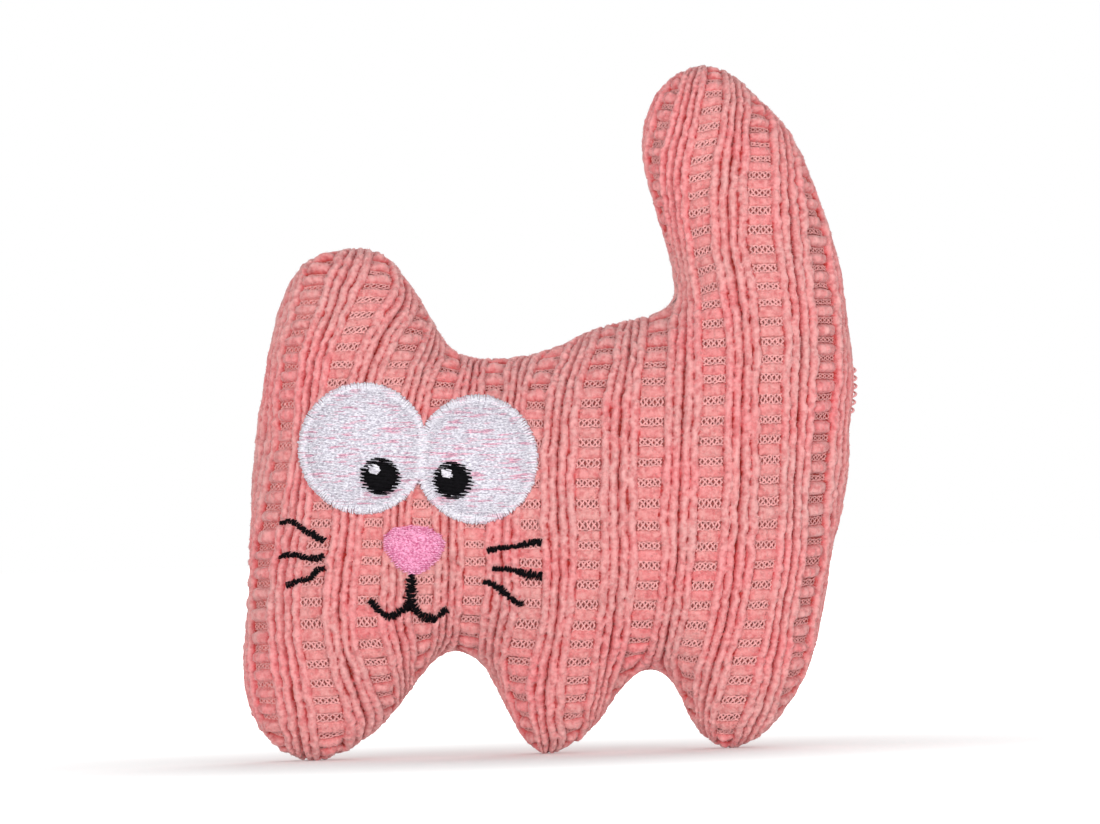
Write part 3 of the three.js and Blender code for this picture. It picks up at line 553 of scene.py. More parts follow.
def pillow_mesh(slack):
    """A coarse closed pillow: both sides of the outline, swollen as two sewn panels swell, less the slack."""
    rim = smooth_curve(OUTLINE, 8, closed=True)
    tangent = np.roll(rim, -1, 0) - np.roll(rim, 1, 0)
    inwards = np.column_stack([tangent[:, 1], -tangent[:, 0]]) / np.hypot(*tangent.T)[:, None]
    found = [rim]
    # Rings of points at even turns round the edge, and a grid over the rest
    for turn in (0.136, 0.273, 0.41, 0.545, 0.68):
        depth = EDGE_RADIUS * (1 - math.cos(turn))
        ring = rim + inwards * depth
        found.append(ring[(edge_distance(ring, rim) > 0.95 * depth) & is_inside(ring, rim)][::2])
    step, margin = 2.4, 3.4
    (x0, z0), (x1, z1) = rim.min(0), rim.max(0)
    grid = np.array([(x, z) for x in np.arange(x0, x1, step) for z in np.arange(z0, z1, step)])
    grid = grid[is_inside(grid, rim)]
    found.append(grid[edge_distance(grid, rim) > margin])
    count = len(rim)
    verts, _, faces, *_ = geometry.delaunay_2d_cdt(
        [Vector(p) for p in np.concatenate(found)], [(i, (i + 1) % count) for i in range(count)], [], 1, 1e-7)
    flat = np.array([tuple(v) for v in verts])
    clear = edge_distance(flat, rim) > 1e-3
    high = np.zeros(len(flat))
    high[clear] = plump(flat[clear], rim) * (1 - slack)
    shape["rim"] = rim
    bm = bmesh.new()
    made = [bm.verts.new((x * MM, -y * MM, z * MM)) for (x, z), y in zip(flat, high)]
    for face in faces:
        bm.faces.new([made[i] for i in face])
    copied = bmesh.ops.duplicate(bm, geom=bm.verts[:] + bm.edges[:] + bm.faces[:])["geom"]
    bmesh.ops.scale(bm, vec=(1, -1, 1), verts=[v for v in copied if isinstance(v, bmesh.types.BMVert)])
    bmesh.ops.remove_doubles(bm, verts=bm.verts[:], dist=1e-7)
    bmesh.ops.recalc_face_normals(bm, faces=bm.faces[:])
    return meshed("stuffed_form", bm)


def stuffed_form(knit):
    """The whole stuffed body as one closed skin of even quads."""
    form = linked("stuffed_form", pillow_mesh(knit.slack))
    even = form.modifiers.new("even", "REMESH")
    even.mode, even.voxel_size, even.use_smooth_shade = "VOXEL", knit.voxel, True
    form = blown_up(settled(form, "stuffed_form"), knit)
    fine = form.modifiers.new("fine", "SUBSURF")
    fine.levels = fine.render_levels = 1
    return settled(form, "stuffed_form")


def blown_up(form, knit):
    """The sewn skin as a cloth that its stuffing blows up, held at the seam."""
    rest = points_of(form.data)
    form.data.transform(Matrix.Scale(SIM_SCALE, 4))
    seam = form.vertex_groups.new(name="seam")
    seam.add([int(i) for i in np.flatnonzero(np.abs(rest[:, 1]) < knit.seam_hold)], 1.0, "REPLACE")
    cloth = form.modifiers.new("cloth", "CLOTH")
    cloth.collision_settings.use_collision = False
    settings = cloth.settings
    settings.quality, settings.mass = 6, 0.3
    settings.tension_stiffness = settings.compression_stiffness = 15
    settings.shear_stiffness, settings.bending_stiffness = 5, 0.5
    settings.use_pressure, settings.uniform_pressure_force = True, knit.pressure
    settings.effector_weights.gravity = 0
    settings.vertex_group_mass = "seam"
    for at in range(1, SIM_FRAMES + 1):
        bpy.context.scene.frame_set(at)
    form = settled(form, "stuffed_form")
    bpy.context.scene.frame_set(1)
    moved = points_of(form.data) / SIM_SCALE - rest
    far = np.linalg.norm(moved, axis=1)
    moved *= np.minimum(1, knit.give / np.maximum(far, 1e-9))[:, None]
    form.data.vertices.foreach_set("co", (rest + moved).astype(np.float32).ravel())
    return form


def half_of(form, side, knit):
    """One panel's half of the form, open at the seam, subdivided until a cord is about five steps wide."""
    bm = bmesh.new()
    bm.from_mesh(form.data)
    bmesh.ops.bisect_plane(
        bm, geom=bm.verts[:] + bm.edges[:] + bm.faces[:], clear_inner=True,
        plane_co=(0, -side * knit.lap, 0), plane_no=(0, side, 0))
    bmesh.ops.dissolve_degenerate(bm, edges=bm.edges[:], dist=1e-5)
    coarse = linked("half", meshed("half", bm))
    fine = coarse.modifiers.new("fine", "SUBSURF")
    fine.levels = fine.render_levels = 2
    return settled(coarse, "half")


def knit_field():
    """The field that numbers the knit's repeats across the cloth, from the traced ladders."""
    rim = shape["rim"]
    places, numbers = [], []
    for number, line in LADDERS.items():
        places += line
        numbers += [number] * len(line)
    places = np.array(places, float)
    nudge, give = 0.4, 4.0
    slope = np.column_stack([
        (plump(places + d, rim) - plump(places - d, rim)) / (2 * nudge)
        for d in (np.array([nudge, 0]), np.array([0, nudge]))])
    steep = np.hypot(*slope.T)
    out = -slope / np.maximum(steep, 1e-6)[:, None]
    places = places + out * spare(np.arctan(steep))[:, None]
    return thin_plate(places, np.array(numbers, float), give)


def knit_place(co, normal, side):
    """Where each point of a panel lies in its knit: which repeat across, which row up, how closely its rungs
    are packed, as they are where the cloth turns away to the seam, and its place on the cloth laid flat."""
    out = normal[:, [0, 2]]
    flat = np.hypot(*out.T)
    out = out / np.maximum(flat, 1e-6)[:, None]
    extra = spare(np.arccos(np.clip(np.abs(normal[:, 1]), 0, 1)))
    cloth = co[:, [0, 2]] + out * extra[:, None]
    across = shape["field"](cloth)
    share = ease((across - HEAD_LADDER) / (TAIL_LADDER - HEAD_LADDER))
    up = (1 - share) * rows_at(HEAD_ROWS, co[:, 2]) + share * rows_at(TAIL_ROWS, co[:, 2])
    up = up + out[:, 1] * extra / ROW_SIZE
    tilted = np.exp(-((across - TILTED_LADDER) / 0.35) ** 2) * ease((co[:, 2] - TILTED_FROM) / 10)
    up = up - 0.9 * (across - TILTED_LADDER) * tilted
    # The rungs pack less on the face's side than towards the tail and the top
    turned = np.sqrt(np.clip(1 - normal[:, 1] ** 2, 0, 1)) + 0.2 * normal[:, 0] + 0.15 * normal[:, 2]
    packed = ease((turned - 0.3) / 0.45)
    if side == BACK:
        across, up = across + BACK_SHIFT[0], up + BACK_SHIFT[1]
    return across, up, packed, cloth


def relief(across, up, packed, cloth, knit):
    """How far the knit stands over the panel's mean surface, in millimetres, how open it lies to the light,
    which the material paints as shade and highlight, and how much of the ladder's floor shows, which it
    paints darker as painted shade."""
    x, z = cloth.T
    across = across + layered(x, z, (0.012, 0.13, 0.45, 3))
    ladder = np.round(across)
    offset = across - ladder
    off, right = np.abs(offset), offset > 0
    edge = knit.ladder_share + layered(ladder * 7.3 + right * 3.7, up, (0.022, 1, 0.9, 5))
    in_ladder = off < edge
    # The ladder: rungs that bulge between thin open strips, and round rolls where they are packed closely
    rung = np.round(up - 0.5)
    row = up - 0.5 - rung
    rung_half = knit.rung_share + layered(ladder * 5.1 + offset * 9, rung, (0.025, 1, 3.3, 7))
    bulge = 1 - ease((np.abs(row) / rung_half - 0.76) / 0.74)
    pad = bulge * (1 - (0.3 + 0.2 * packed) * (off / edge) ** 2)
    pad = pad * layered(x, rung, (0.12, 1.6, 1.7, 9), start=1) * (1 - 0.5 * packed * (row / 0.4) ** 2)
    shallow = 0.35 * np.exp(-((across - SHALLOW_LADDER) / 0.4) ** 2)
    floor = -knit.ladder_depth / MM * (1 + 0.45 * packed) * (1 - shallow)
    ladder_high = floor + knit.rung_rise / MM * (1 + packed) * pad
    # How open a rung lies to the light, for painted shade: darker at its ends under the cords and in closely
    # packed gaps
    ladder_lit = 0.6 + 0.2 * bulge - 0.25 * (off / edge) ** 8 - 0.6 * packed * (1 - bulge)
    # The rib: four velvet cords, two on each side of its middle groove
    across_rib = np.clip((off - edge) / (0.5 - edge), 0, 1)
    inner = across_rib > 0.5
    cord = ladder * 4 + right * 2 + inner
    wander = layered(cord, up, (0.2, 3.1, 1.1, 11), (0.22, 5.7, 3.3, 12), (0.16, 7.3, 5.9, 18))
    girth = layered(cord, up, (0.14, 9.1, 2.9, 13), (0.14, 4.3, 5.3, 14), start=0.97)
    local = (2 * (2 * across_rib - inner) - 1 + wander) / girth
    round_top = np.sqrt(np.clip(1 - local ** 2, 0, 1))
    depth = knit.cord_depth / MM
    cord_high = knit.cord_rise / MM - depth + depth * round_top * (0.5 + 0.5 * girth) - 0.12 * inner
    middle = np.exp(-((1 - across_rib) / 0.1) ** 2)
    cord_high = cord_high - knit.groove_depth / MM * middle
    # How open a cord lies to the light, for painted shade: palest on its round top, darkest down in the rib's
    # middle groove
    cord_lit = 0.08 + 0.84 * round_top ** 0.75 - 0.3 * middle
    fuzz = layered(x, z, (0.2, 1.1, 0.9, 15), (0.17, 2.3, 2.1, 16))
    combed = layered(x, rung * 3.1 + 1.2 * row, (0.12, 2.4, 1, 17)) * bulge
    high = np.where(in_ladder, ladder_high + 0.3 * fuzz + combed, cord_high + fuzz)
    pile_lit = np.clip(np.where(in_ladder, ladder_lit + 1.4 * combed, cord_lit + 0.7 * fuzz), 0, 1)
    # The third number is how much of the darker floor colour shows: most down in the deep middle of each gap,
    # as painted shade, and a little on the rungs
    return high, pile_lit, np.where(in_ladder, (0.2 + 0.8 * (1 - bulge) ** 2) * (1 - 0.8 * packed), 0)


def line_distance(points, line):
    """How far each point is from an open line."""
    best = np.full(len(points), 1e9)
    for a, b in zip(line, line[1:]):
        along = b - a
        t = np.clip(((points - a) @ along) / (along @ along), 0, 1)
        best = np.minimum(best, np.hypot(*(points - a - t[:, None] * along).T))
    return best


def placed(points):
    """Points of the face in the frame's millimetres."""
    return [(x + SHIFT, z) for x, z in points]


def nose_loop(per_span):
    return smooth_curve(placed(NOSE), per_span, closed=True)


def pressed(points, high):
    """The pile pressed down where the embroidery lies on it."""
    for x, z, half_x, half_z in EYES.values():
        far = np.hypot((points[:, 0] - x - SHIFT) / half_x, (points[:, 1] - z) / half_z)
        high = high + (PRESSED - high) * ease((1.01 - far) / 0.05)
    nose = nose_loop(4)
    near = edge_distance(points, nose)
    high = high + (PRESSED - high) * np.where(is_inside(points, nose), 1, ease((0.3 - near) / 0.4))
    for line, _ in MOUTH_RUNS + list(WHISKERS.values()):
        near = line_distance(points, np.array(placed(line)))
        high = high + (PRESSED - high) * ease((1.3 - near) / 0.9) * 0.85
    return high


def knitted_panel(form, side, knit):
    """Half of the stuffed body, closed at the seam, with the whole knit modelled in its surface."""
    half = half_of(form, side, knit)
    mesh = half.data
    co, normal = points_of(mesh) / MM, points_of(mesh, "normal")
    across, up, packed, cloth = knit_place(co, normal, side)
    high, pile_lit, bare = relief(across, up, packed, cloth, knit)
    if side == FRONT:
        high = pressed(co[:, [0, 2]], high)
    tree = BVHTree.FromPolygons([Vector(p) for p in co], [p.vertices[:] for p in mesh.polygons])
    shape[side] = {"co": co, "normal": normal, "across": across, "up": up, "packed": packed, "tree": tree}
    # The knit lies flatter where both panels are drawn together into the seam, and dips at the seam itself
    high = high + (-0.1 - high) * 0.6 * (1 - ease(np.abs(co[:, 1]) / 4.5))
    pinch = 0.5 * np.clip(1 - np.abs(co[:, 1]) / 1.3, 0, 1) ** 2
    moved = co + normal * (high - pinch)[:, None]
    rim_y = -side * knit.lap / MM
    moved[np.abs(co[:, 1] - rim_y) < 1e-3, 1] = rim_y
    moved[:, 1] = side * np.maximum(side * moved[:, 1], side * rim_y)
    moved[:, 2] = np.maximum(moved[:, 2], 0)
    mesh.vertices.foreach_set("co", (moved * MM).astype(np.float32).ravel())
    # The painted light: how open each point lies to the light, and how much of the darker ladder floor shows
    # as painted shade
    painted(mesh, "pile", pile_lit)
    painted(mesh, "bare", bare)
    corner = values_of(mesh.loops, "vertex_index", kind=np.int32)
    uv = mesh.uv_layers.new(name="knit")
    uv.uv.foreach_set("vector", np.column_stack([across, up])[corner].astype(np.float32).ravel())
    bm = bmesh.new()
    bm.from_mesh(mesh)
    bmesh.ops.triangle_fill(bm, edges=[e for e in bm.edges if e.is_boundary], normal=(0, -side, 0))
    bmesh.ops.recalc_face_normals(bm, faces=bm.faces[:])
    bm.to_mesh(mesh)
    bm.free()
    half.name = mesh.name = {FRONT: "front_panel", BACK: "back_panel"}[side]
    return half


def tufts(panel, side, knit):
    """Short tapering tufts of the velvet pile on a panel's cords and rungs, as closed three-sided spikes."""
    mesh = panel.data
    centre, out = (values_of(mesh.polygons, name, 3).astype(float) for name in ("center", "normal"))
    area = values_of(mesh.polygons, "area").astype(float)
    start = values_of(mesh.polygons, "loop_start", kind=np.int32)
    corner = values_of(mesh.loops, "vertex_index", kind=np.int32)
    # How open the cloth under each face lies to the light, the number its painted shade is drawn from
    pile = values_of(mesh.attributes["pile"].data, "value")[corner[start]]
    bare = (side * centre[:, 1] < 0.2 * MM) | (centre[:, 2] < knit.tuft_length)
    if side == FRONT:
        bare |= under_embroidery(centre[:, [0, 2]] / MM)
    weight = np.where(bare, 0, area * ease((pile - 0.3) / 0.3))
    draw = np.random.default_rng(SEEDS["pile"])
    chosen = draw.choice(len(area), knit.tuft_count, p=weight / weight.sum())
    root, up = centre[chosen], out[chosen]
    spin = draw.normal(size=root.shape)
    flat = unit(spin - (spin * up).sum(1)[:, None] * up)

    def between(low, high):
        return draw.uniform(low, high, len(chosen))[:, None]

    lean = unit(up + flat * between(0.2, 1.3))
    other = unit(np.cross(lean, flat))
    third = np.cross(other, lean)
    shift = 0.1
    root = root + flat * between(-1, 1) * shift * MM - up * shift * MM
    girth = knit.tuft_girth / 2 * between(0.7, 1.3)
    tall = knit.tuft_length * between(0.55, 1.2)
    # Shorter by the seam, where the pile is drawn in
    tall *= 0.45 + 0.55 * ease(np.abs(root[:, 1:2]) / (4 * MM))
    verts = np.empty((len(chosen), 4, 3))
    for i in range(3):
        turn = 2 * math.pi * i / 3
        verts[:, i] = root + girth * (math.cos(turn) * third + math.sin(turn) * other)
    verts[:, 3] = root + lean * tall
    first = 4 * np.arange(len(chosen))[:, None, None]
    faces = (first + np.array([(0, 1, 3), (1, 2, 3), (2, 0, 3), (0, 2, 1)])).reshape(-1, 3)
    made = bpy.data.meshes.new(panel.name + "_pile")
    made.from_pydata(verts.reshape(-1, 3).tolist(), [], faces.tolist())
    # Each tuft takes the painted light of the cloth under it, its tip painted paler as a painted highlight
    height = np.repeat(pile[chosen], 4).reshape(-1, 4)
    height[:, 3] = np.minimum(1, height[:, 3] + 0.3)
    painted(made, "pile", height)
    return linked(made.name, made)


class CATTOY_OT_body(bpy.types.Operator):
    """Stuff the body and knit its two panels"""
    bl_idname = "cattoy.body"
    bl_label = "Stuffed body"

    def execute(self, context):
        knit = context.scene.cattoy_knit
        form = stuffed_form(knit)
        shape["field"] = knit_field()
        cloth = chenille(knit)
        front = knitted_panel(form, FRONT, knit)
        dressed(front, cloth, "chenille_knit", "front_cover", "embroidery_backing", "head_filling",
                "ear_filling", "front_leg_filling")
        back = knitted_panel(form, BACK, knit)
        dressed(back, cloth, "chenille_knit", "back_cover", "overlocked_seam", "body_filling", "tail_filling",
                "middle_leg_filling", "rear_leg_filling")
        removed(form)
        for panel, side in ((front, FRONT), (back, BACK)):
            dressed(tufts(panel, side, knit), cloth, "chenille_knit")
        return {"FINISHED"}


# Threads

def tubes(name, runs, thickness, resolution=1):
    """Thin closed strands along runs of points, each with its own width at each point."""
    curve = bpy.data.curves.new(name, "CURVE")
    curve.dimensions, curve.use_fill_caps = "3D", True
    curve.bevel_depth, curve.bevel_resolution = thickness / 2, resolution
    for points, widths in runs:
        spline = curve.splines.new("POLY")
        spline.points.add(len(points) - 1)
        spline.points.foreach_set("co", [c for p in points for c in (*p, 1)])
        spline.points.foreach_set("radius", list(widths))
    return settled(linked(name, curve), name)


class CATTOY_OT_lace(bpy.types.Operator):
    """Cross the thin threads between the rungs of every ladder"""
    bl_idname = "cattoy.lace"
    bl_label = "Openwork threads"

    def execute(self, context):
        knit = context.scene.cattoy_knit
        material = thread("lace_thread", knit.lace_colour, [0.85 * c for c in knit.lace_colour], 0.0, 0.8)
        for side, name in ((FRONT, "front_openwork"), (BACK, "back_openwork")):
            panel = shape[side]
            tree = kdtree.KDTree(len(panel["co"]))
            for i, (u, v) in enumerate(zip(panel["across"] * REPEAT_SIZE, panel["up"] * ROW_SIZE)):
                tree.insert((u, v, 0), i)
            tree.balance()
            draw = np.random.default_rng(SEEDS["openwork"])
            runs = []
            for ladder in range(int(panel["across"].min()), int(panel["across"].max()) + 2):
                for row in range(int(panel["up"].min()) - 1, int(panel["up"].max()) + 2):
                    for points, width in self.row_threads(panel, tree, ladder, row, knit, draw):
                        if side == BACK or not under_embroidery(points[:, [0, 2]]).all():
                            runs.append((points * MM, [width] * len(points)))
            dressed(tubes(name, runs, knit.lace_thread, 0), material, "pink_thread")
        return {"FINISHED"}

    def row_threads(self, panel, tree, ladder, row, knit, draw):
        """Two threads that wind across each other, and one along each rung."""
        steps = LOOP_STEPS * LOOPS + 1
        turn = np.linspace(0, LOOPS * math.pi, steps)
        arch = np.sin(turn) ** 2 * np.where((np.arange(steps) // LOOP_STEPS) % 2, -1, 1)
        sway = draw.uniform(-1, 1, 2)
        packed = panel["packed"][tree.find((ladder * REPEAT_SIZE, row * ROW_SIZE, 0))[1]]
        blur = np.full(5, 0.2)
        swing = np.convolve(draw.uniform(-1, 1, steps + len(blur) - 1), blur, "valid")
        across = ladder + (turn / turn[-1] - 0.5) * 2 * knit.ladder_share + 0.01 * swing
        middle = row + (0.1 * sway[0] + 0.25 * np.roll(swing, 9)) / ROW_PITCH
        tall = (0.7 - 0.25 * packed + 0.08 * sway[1]) / ROW_PITCH
        edge = tall * (1.25 - 0.35 * np.abs(arch))
        depth, width = 0.6 + 0.45 * packed, 1 - 0.4 * packed
        for away, every in ((tall * arch, 1), (-tall * arch, 1), (edge, 2), (-edge, 2)):
            up = middle + away
            points = on_knit(panel, tree, across[::every], up[::every], depth)
            if points is not None:
                yield points, width


def on_knit(panel, tree, across, up, depth):
    """The points of a panel at these places of its knit, sunk by a depth. None where it has no such row."""
    too_far, torn, lowest = 0.4, 0.9, 0.3
    found = [tree.find_n((u * REPEAT_SIZE, v * ROW_SIZE, 0), 3) for u, v in zip(across, up)]
    if max(f[0][2] for f in found) > too_far:
        return None
    points = []
    for near in found:
        weight = np.array([1 / (d + 0.02) for _, _, d in near])
        weight /= weight.sum()
        index = [i for _, i, _ in near]
        points.append(weight @ panel["co"][index] - depth * (weight @ panel["normal"][index]))
    points = np.array(points)
    whole = np.abs(np.diff(points, axis=0)).max() <= torn and points[:, 2].min() >= lowest
    return points if whole else None


def under_embroidery(points):
    """Whether points lie under an eye or the nose."""
    hidden = np.zeros(len(points), bool)
    for x, z, half_x, half_z in EYES.values():
        hidden |= np.hypot((points[:, 0] - x - SHIFT) / half_x, (points[:, 1] - z) / half_z) < 1.0
    return hidden | is_inside(points, nose_loop(4))


def on_front(x, z, lift):
    """The point over the front panel's mean surface, in metres."""
    hit, normal, _, _ = shape[FRONT]["tree"].ray_cast(Vector((x, -60, z)), Vector((0, 1, 0)))
    if hit is None:
        raise RuntimeError(f"no cloth under the embroidery at {x:.1f}, {z:.1f}")
    return (hit + normal * lift) * MM


def stitch(start, end, lift, sink=0.45):
    """One stitch laid from point to point over the panel, its ends sunk into the cloth."""
    (x0, z0), (x1, z1) = start, end
    shoulder = lift - 0.12
    points, widths = [], []
    for t, high, wide in ((0, -sink, 0.5), (0.12, shoulder, 0.95), (0.5, lift, 1), (0.88, shoulder, 0.95),
                          (1, -sink, 0.5)):
        points.append(on_front(x0 + (x1 - x0) * t, z0 + (z1 - z0) * t, high))
        widths.append(wide)
    return points, widths


def chord(loop, z):
    """The crossings of a level line with a loop, from left to right."""
    a, b = loop, np.roll(loop, -1, 0)
    cut = (a[:, 1] > z) != (b[:, 1] > z)
    return sorted(a[cut, 0] + (z - a[cut, 1]) * (b[cut, 0] - a[cut, 0]) / (b[cut, 1] - a[cut, 1]))


def filled(loop, row, length, lift, draw, ragged=0.15, slant=0.0, wave=0.0):
    """Rows of stitches that fill a loop, staggered from row to row as a machine lays them. They may all slant
    one way, or slant up and down in turn as a wave."""
    stagger, shortest = 0.38, 0.6
    runs = []
    for i, z in enumerate(np.arange(loop[:, 1].min() + row / 2, loop[:, 1].max(), row)):
        crossings = chord(loop, z)
        if len(crossings) < 2:
            continue
        left, right = crossings[0] - draw.uniform(0, ragged), crossings[-1] + draw.uniform(0, ragged)
        cuts = np.arange(left - length * ((i * stagger) % 1), right, length)[1:]
        inner = [c + draw.uniform(-0.2, 0.2) for c in cuts if left + shortest < c < right - shortest]
        cuts = [left, *inner, right]
        for k, (a, b) in enumerate(zip(cuts, cuts[1:])):
            tilt = slant * (b - a) + wave * (-1) ** k + draw.uniform(-0.04, 0.04)
            runs.append(stitch((a, z - tilt), (b, z + tilt), lift + draw.uniform(-0.05, 0.05)))
    return runs


def oval(place, grow=0.0, count=96):
    x, z, half_x, half_z = place
    turn = np.linspace(0, 2 * math.pi, count, endpoint=False)
    return np.column_stack([x + SHIFT + (half_x + grow) * np.cos(turn), z + (half_z + grow) * np.sin(turn)])


def underlay(name, loop, lift):
    """A thin closed bed of stitches, laid over the panel inside the loop."""
    middle, turns = loop.mean(0), bearings(loop)
    turns = np.array([turns[-1] - 2 * math.pi, *turns, turns[0] + 2 * math.pi])
    bm = bmesh.new()
    rings = 14
    spoke = [bm.verts.new((i / rings, 0, 0)) for i in range(rings + 1)]
    edges = [bm.edges.new(pair) for pair in zip(spoke, spoke[1:])]
    bmesh.ops.spin(bm, geom=spoke + edges, cent=(0, 0, 0), axis=(0, 1, 0), angle=2 * math.pi,
                   steps=len(loop), use_merge=True)
    bmesh.ops.remove_doubles(bm, verts=bm.verts[:], dist=1e-4)
    for v in bm.verts:
        far, turn = math.hypot(v.co.x, v.co.z), math.atan2(v.co.z, v.co.x)
        at = np.interp(turn % (2 * math.pi), turns, np.arange(len(loop) + 2))
        low = loop[(int(at) - 1) % len(loop)]
        high = loop[int(at) % len(loop)]
        rim = low + (high - low) * (at - int(at))
        x, z = middle + (rim - middle) * min(far, 1)
        tucked = far ** 6
        v.co = on_front(x, z, lift * (1 - tucked) - 0.25 * tucked)
    copied = bmesh.ops.extrude_face_region(bm, geom=bm.faces[:])["geom"]
    lower = [v for v in copied if isinstance(v, bmesh.types.BMVert)]
    bmesh.ops.translate(bm, vec=(0, 0.7 * MM, 0), verts=lower)
    bmesh.ops.recalc_face_normals(bm, faces=bm.faces[:])
    return linked(name, meshed(name, bm))


def bearings(loop):
    """The bearing of each point of a loop from its middle."""
    x, z = (loop - loop.mean(0)).T
    return np.arctan2(z, x) % (2 * math.pi)


def started_right(loop):
    """The loop turned so that its bearings rise from zero."""
    return loop[np.argsort(bearings(loop))]


def joined(name, *objects):
    """Several objects of one piece as one."""
    with bpy.context.temp_override(active_object=objects[0], selected_editable_objects=list(objects),
                                   selected_objects=list(objects), object=objects[0]):
        bpy.ops.object.join()
    objects[0].name = objects[0].data.name = name
    return objects[0]


def embroidered(name, runs, thickness, material, slot, *more):
    """The stitches, and what else is sewn with them, as one piece in the place of its CAD node."""
    piece = tubes(name + "_embroidery", runs, thickness)
    if more:
        piece = joined(name + "_embroidery", piece, *more)
    dressed(piece, material, slot, name)


class CATTOY_OT_eyes(bpy.types.Operator):
    """Embroider the eyes, the pupils and their glints"""
    bl_idname = "cattoy.eyes"
    bl_label = "Eyes"

    def execute(self, context):
        face = context.scene.cattoy_face
        white = thread("eye_embroidery", face.white, face.white_shadow, 0.0, 0.5, 2600, 0.2, (0.7, 1, 1.5),
                       face.streak)
        black = thread("black_embroidery", face.black, [0.3 * c for c in face.black], 0.0, 0.6, specular=0.06)
        finishes["black"] = black
        glint = thread("glint_embroidery", face.white, face.white_shadow, 0.0, 0.5, 1100)
        lift, row = face.lift / MM, face.row / MM
        for number, (name, place) in enumerate(EYES.items()):
            draw = np.random.default_rng(SEEDS["eye"] + number)
            inner = oval(place, -0.55 * (face.border / MM))
            runs = filled(inner, row, face.stitch / MM, lift - 0.05, draw)
            border = tubes(name + "_border", self.satin_border(place, face, draw), face.thread)
            painted(border.data, "border", [0.3] * len(border.data.vertices))
            bed = underlay(name + "_bed", started_right(oval(place, -0.35)), lift - 0.2)
            embroidered(name, runs, face.thread, white, "white_thread", border, bed)
        long_stitch = 9.0
        for number, (name, place) in enumerate(PUPILS.items()):
            draw = np.random.default_rng(SEEDS["pupil"] + number)
            inner = oval(place, -0.2)
            runs = filled(inner, row * 0.85, long_stitch, lift + 0.42, draw, ragged=0.55, slant=-0.04)
            bed = underlay(name + "_bed", started_right(oval(place, -0.3, 48)), lift + 0.32)
            embroidered(name, runs, face.thread, black, "black_thread", bed)
        for number, (name, place) in enumerate(GLINTS.items()):
            draw = np.random.default_rng(SEEDS["glint"] + number)
            runs = filled(oval(place), row * 0.8, long_stitch, lift + 0.74, draw, ragged=0.5, slant=-0.12)
            embroidered(name, runs, face.thread, glint, "white_thread")
        return {"FINISHED"}

    def satin_border(self, place, face, draw):
        """Short stitches side by side across an eye's edge."""
        x, z, half_x, half_z = place
        wide, spacing = face.border / MM, 0.27
        centre = np.array([x + SHIFT, z])
        count = int(math.pi * (half_x + half_z) / spacing)
        runs = []
        for i in range(count):
            turn = 2 * math.pi * (i + draw.uniform(-0.3, 0.3)) / count
            way = np.array([math.cos(turn), math.sin(turn)])
            outer = centre + way * (half_x, half_z) + way * draw.uniform(-0.1, 0.3)
            inner = centre + way * (half_x - wide, half_z - wide) + way * draw.uniform(-0.35, 0.2)
            runs.append(stitch(outer, inner, face.lift / MM + 0.05 + draw.uniform(-0.08, 0.08)))
        return runs


class CATTOY_OT_nose(bpy.types.Operator):
    """Embroider the nose"""
    bl_idname = "cattoy.nose"
    bl_label = "Nose"

    def execute(self, context):
        face = context.scene.cattoy_face
        draw = np.random.default_rng(SEEDS["nose"])
        pink = thread("nose_embroidery", face.nose, face.nose_shadow, 0.1, 0.38, 2300, 0.5)
        loop = nose_loop(6)
        lift = face.lift / MM - 0.05
        runs = filled(loop, 1.3 * face.row / MM, 0.75, lift, draw, ragged=0.55, wave=0.13)
        bed = underlay("nose_bed", started_right(loop), lift - 0.15)
        embroidered("nose", runs, face.thread, pink, "pink_satin_thread", bed)
        return {"FINISHED"}


def satin_line(points, widths, spacing, lift, draw):
    """Short stitches across a line, one after the other along it, as wide as each of its points asks."""
    per_span, reach = 12, 0.3
    line = smooth_curve(placed(points), per_span)
    across_line = np.interp(np.arange(len(line)), np.arange(len(widths)) * per_span, widths)
    steps = np.hypot(*np.diff(line, axis=0).T)
    run = np.concatenate([[0], np.cumsum(steps)])

    def place(at):
        return np.array([np.interp(at, run, line[:, k]) for k in (0, 1)])

    runs = []
    for at in np.arange(0, run[-1], spacing):
        here = place(at)
        ahead = place(at + reach) - place(at - reach)
        ahead = ahead / np.hypot(*ahead)
        across = np.array([-ahead[1], ahead[0]])
        wide = np.interp(at, run, across_line) * draw.uniform(0.6, 1.35) / 2
        lean = ahead * draw.uniform(-0.2, 0.4)
        middle = across * draw.uniform(-0.12, 0.12)
        runs.append(stitch(here + middle - across * wide - lean, here + middle + across * wide + lean,
                           lift + draw.uniform(-0.35, 0.12), sink=0.6))
    return runs


class CATTOY_OT_lines(bpy.types.Operator):
    """Embroider the mouth and the whiskers"""
    bl_idname = "cattoy.lines"
    bl_label = "Mouth and whiskers"

    def execute(self, context):
        face = context.scene.cattoy_face
        black = finishes["black"]
        draw = np.random.default_rng(SEEDS["lines"])
        spacing, mouth_lift, whisker_lift = 0.22, 0.35, 0.3
        runs = []
        for line, widths in MOUTH_RUNS:
            runs += satin_line(line, widths, spacing, mouth_lift, draw)
        embroidered("mouth", runs, face.thread, black, "black_thread")
        for name, (line, widths) in WHISKERS.items():
            runs = satin_line(line, widths, spacing, whisker_lift, draw)
            embroidered(name, runs, face.thread, black, "black_thread")
        return {"FINISHED"}


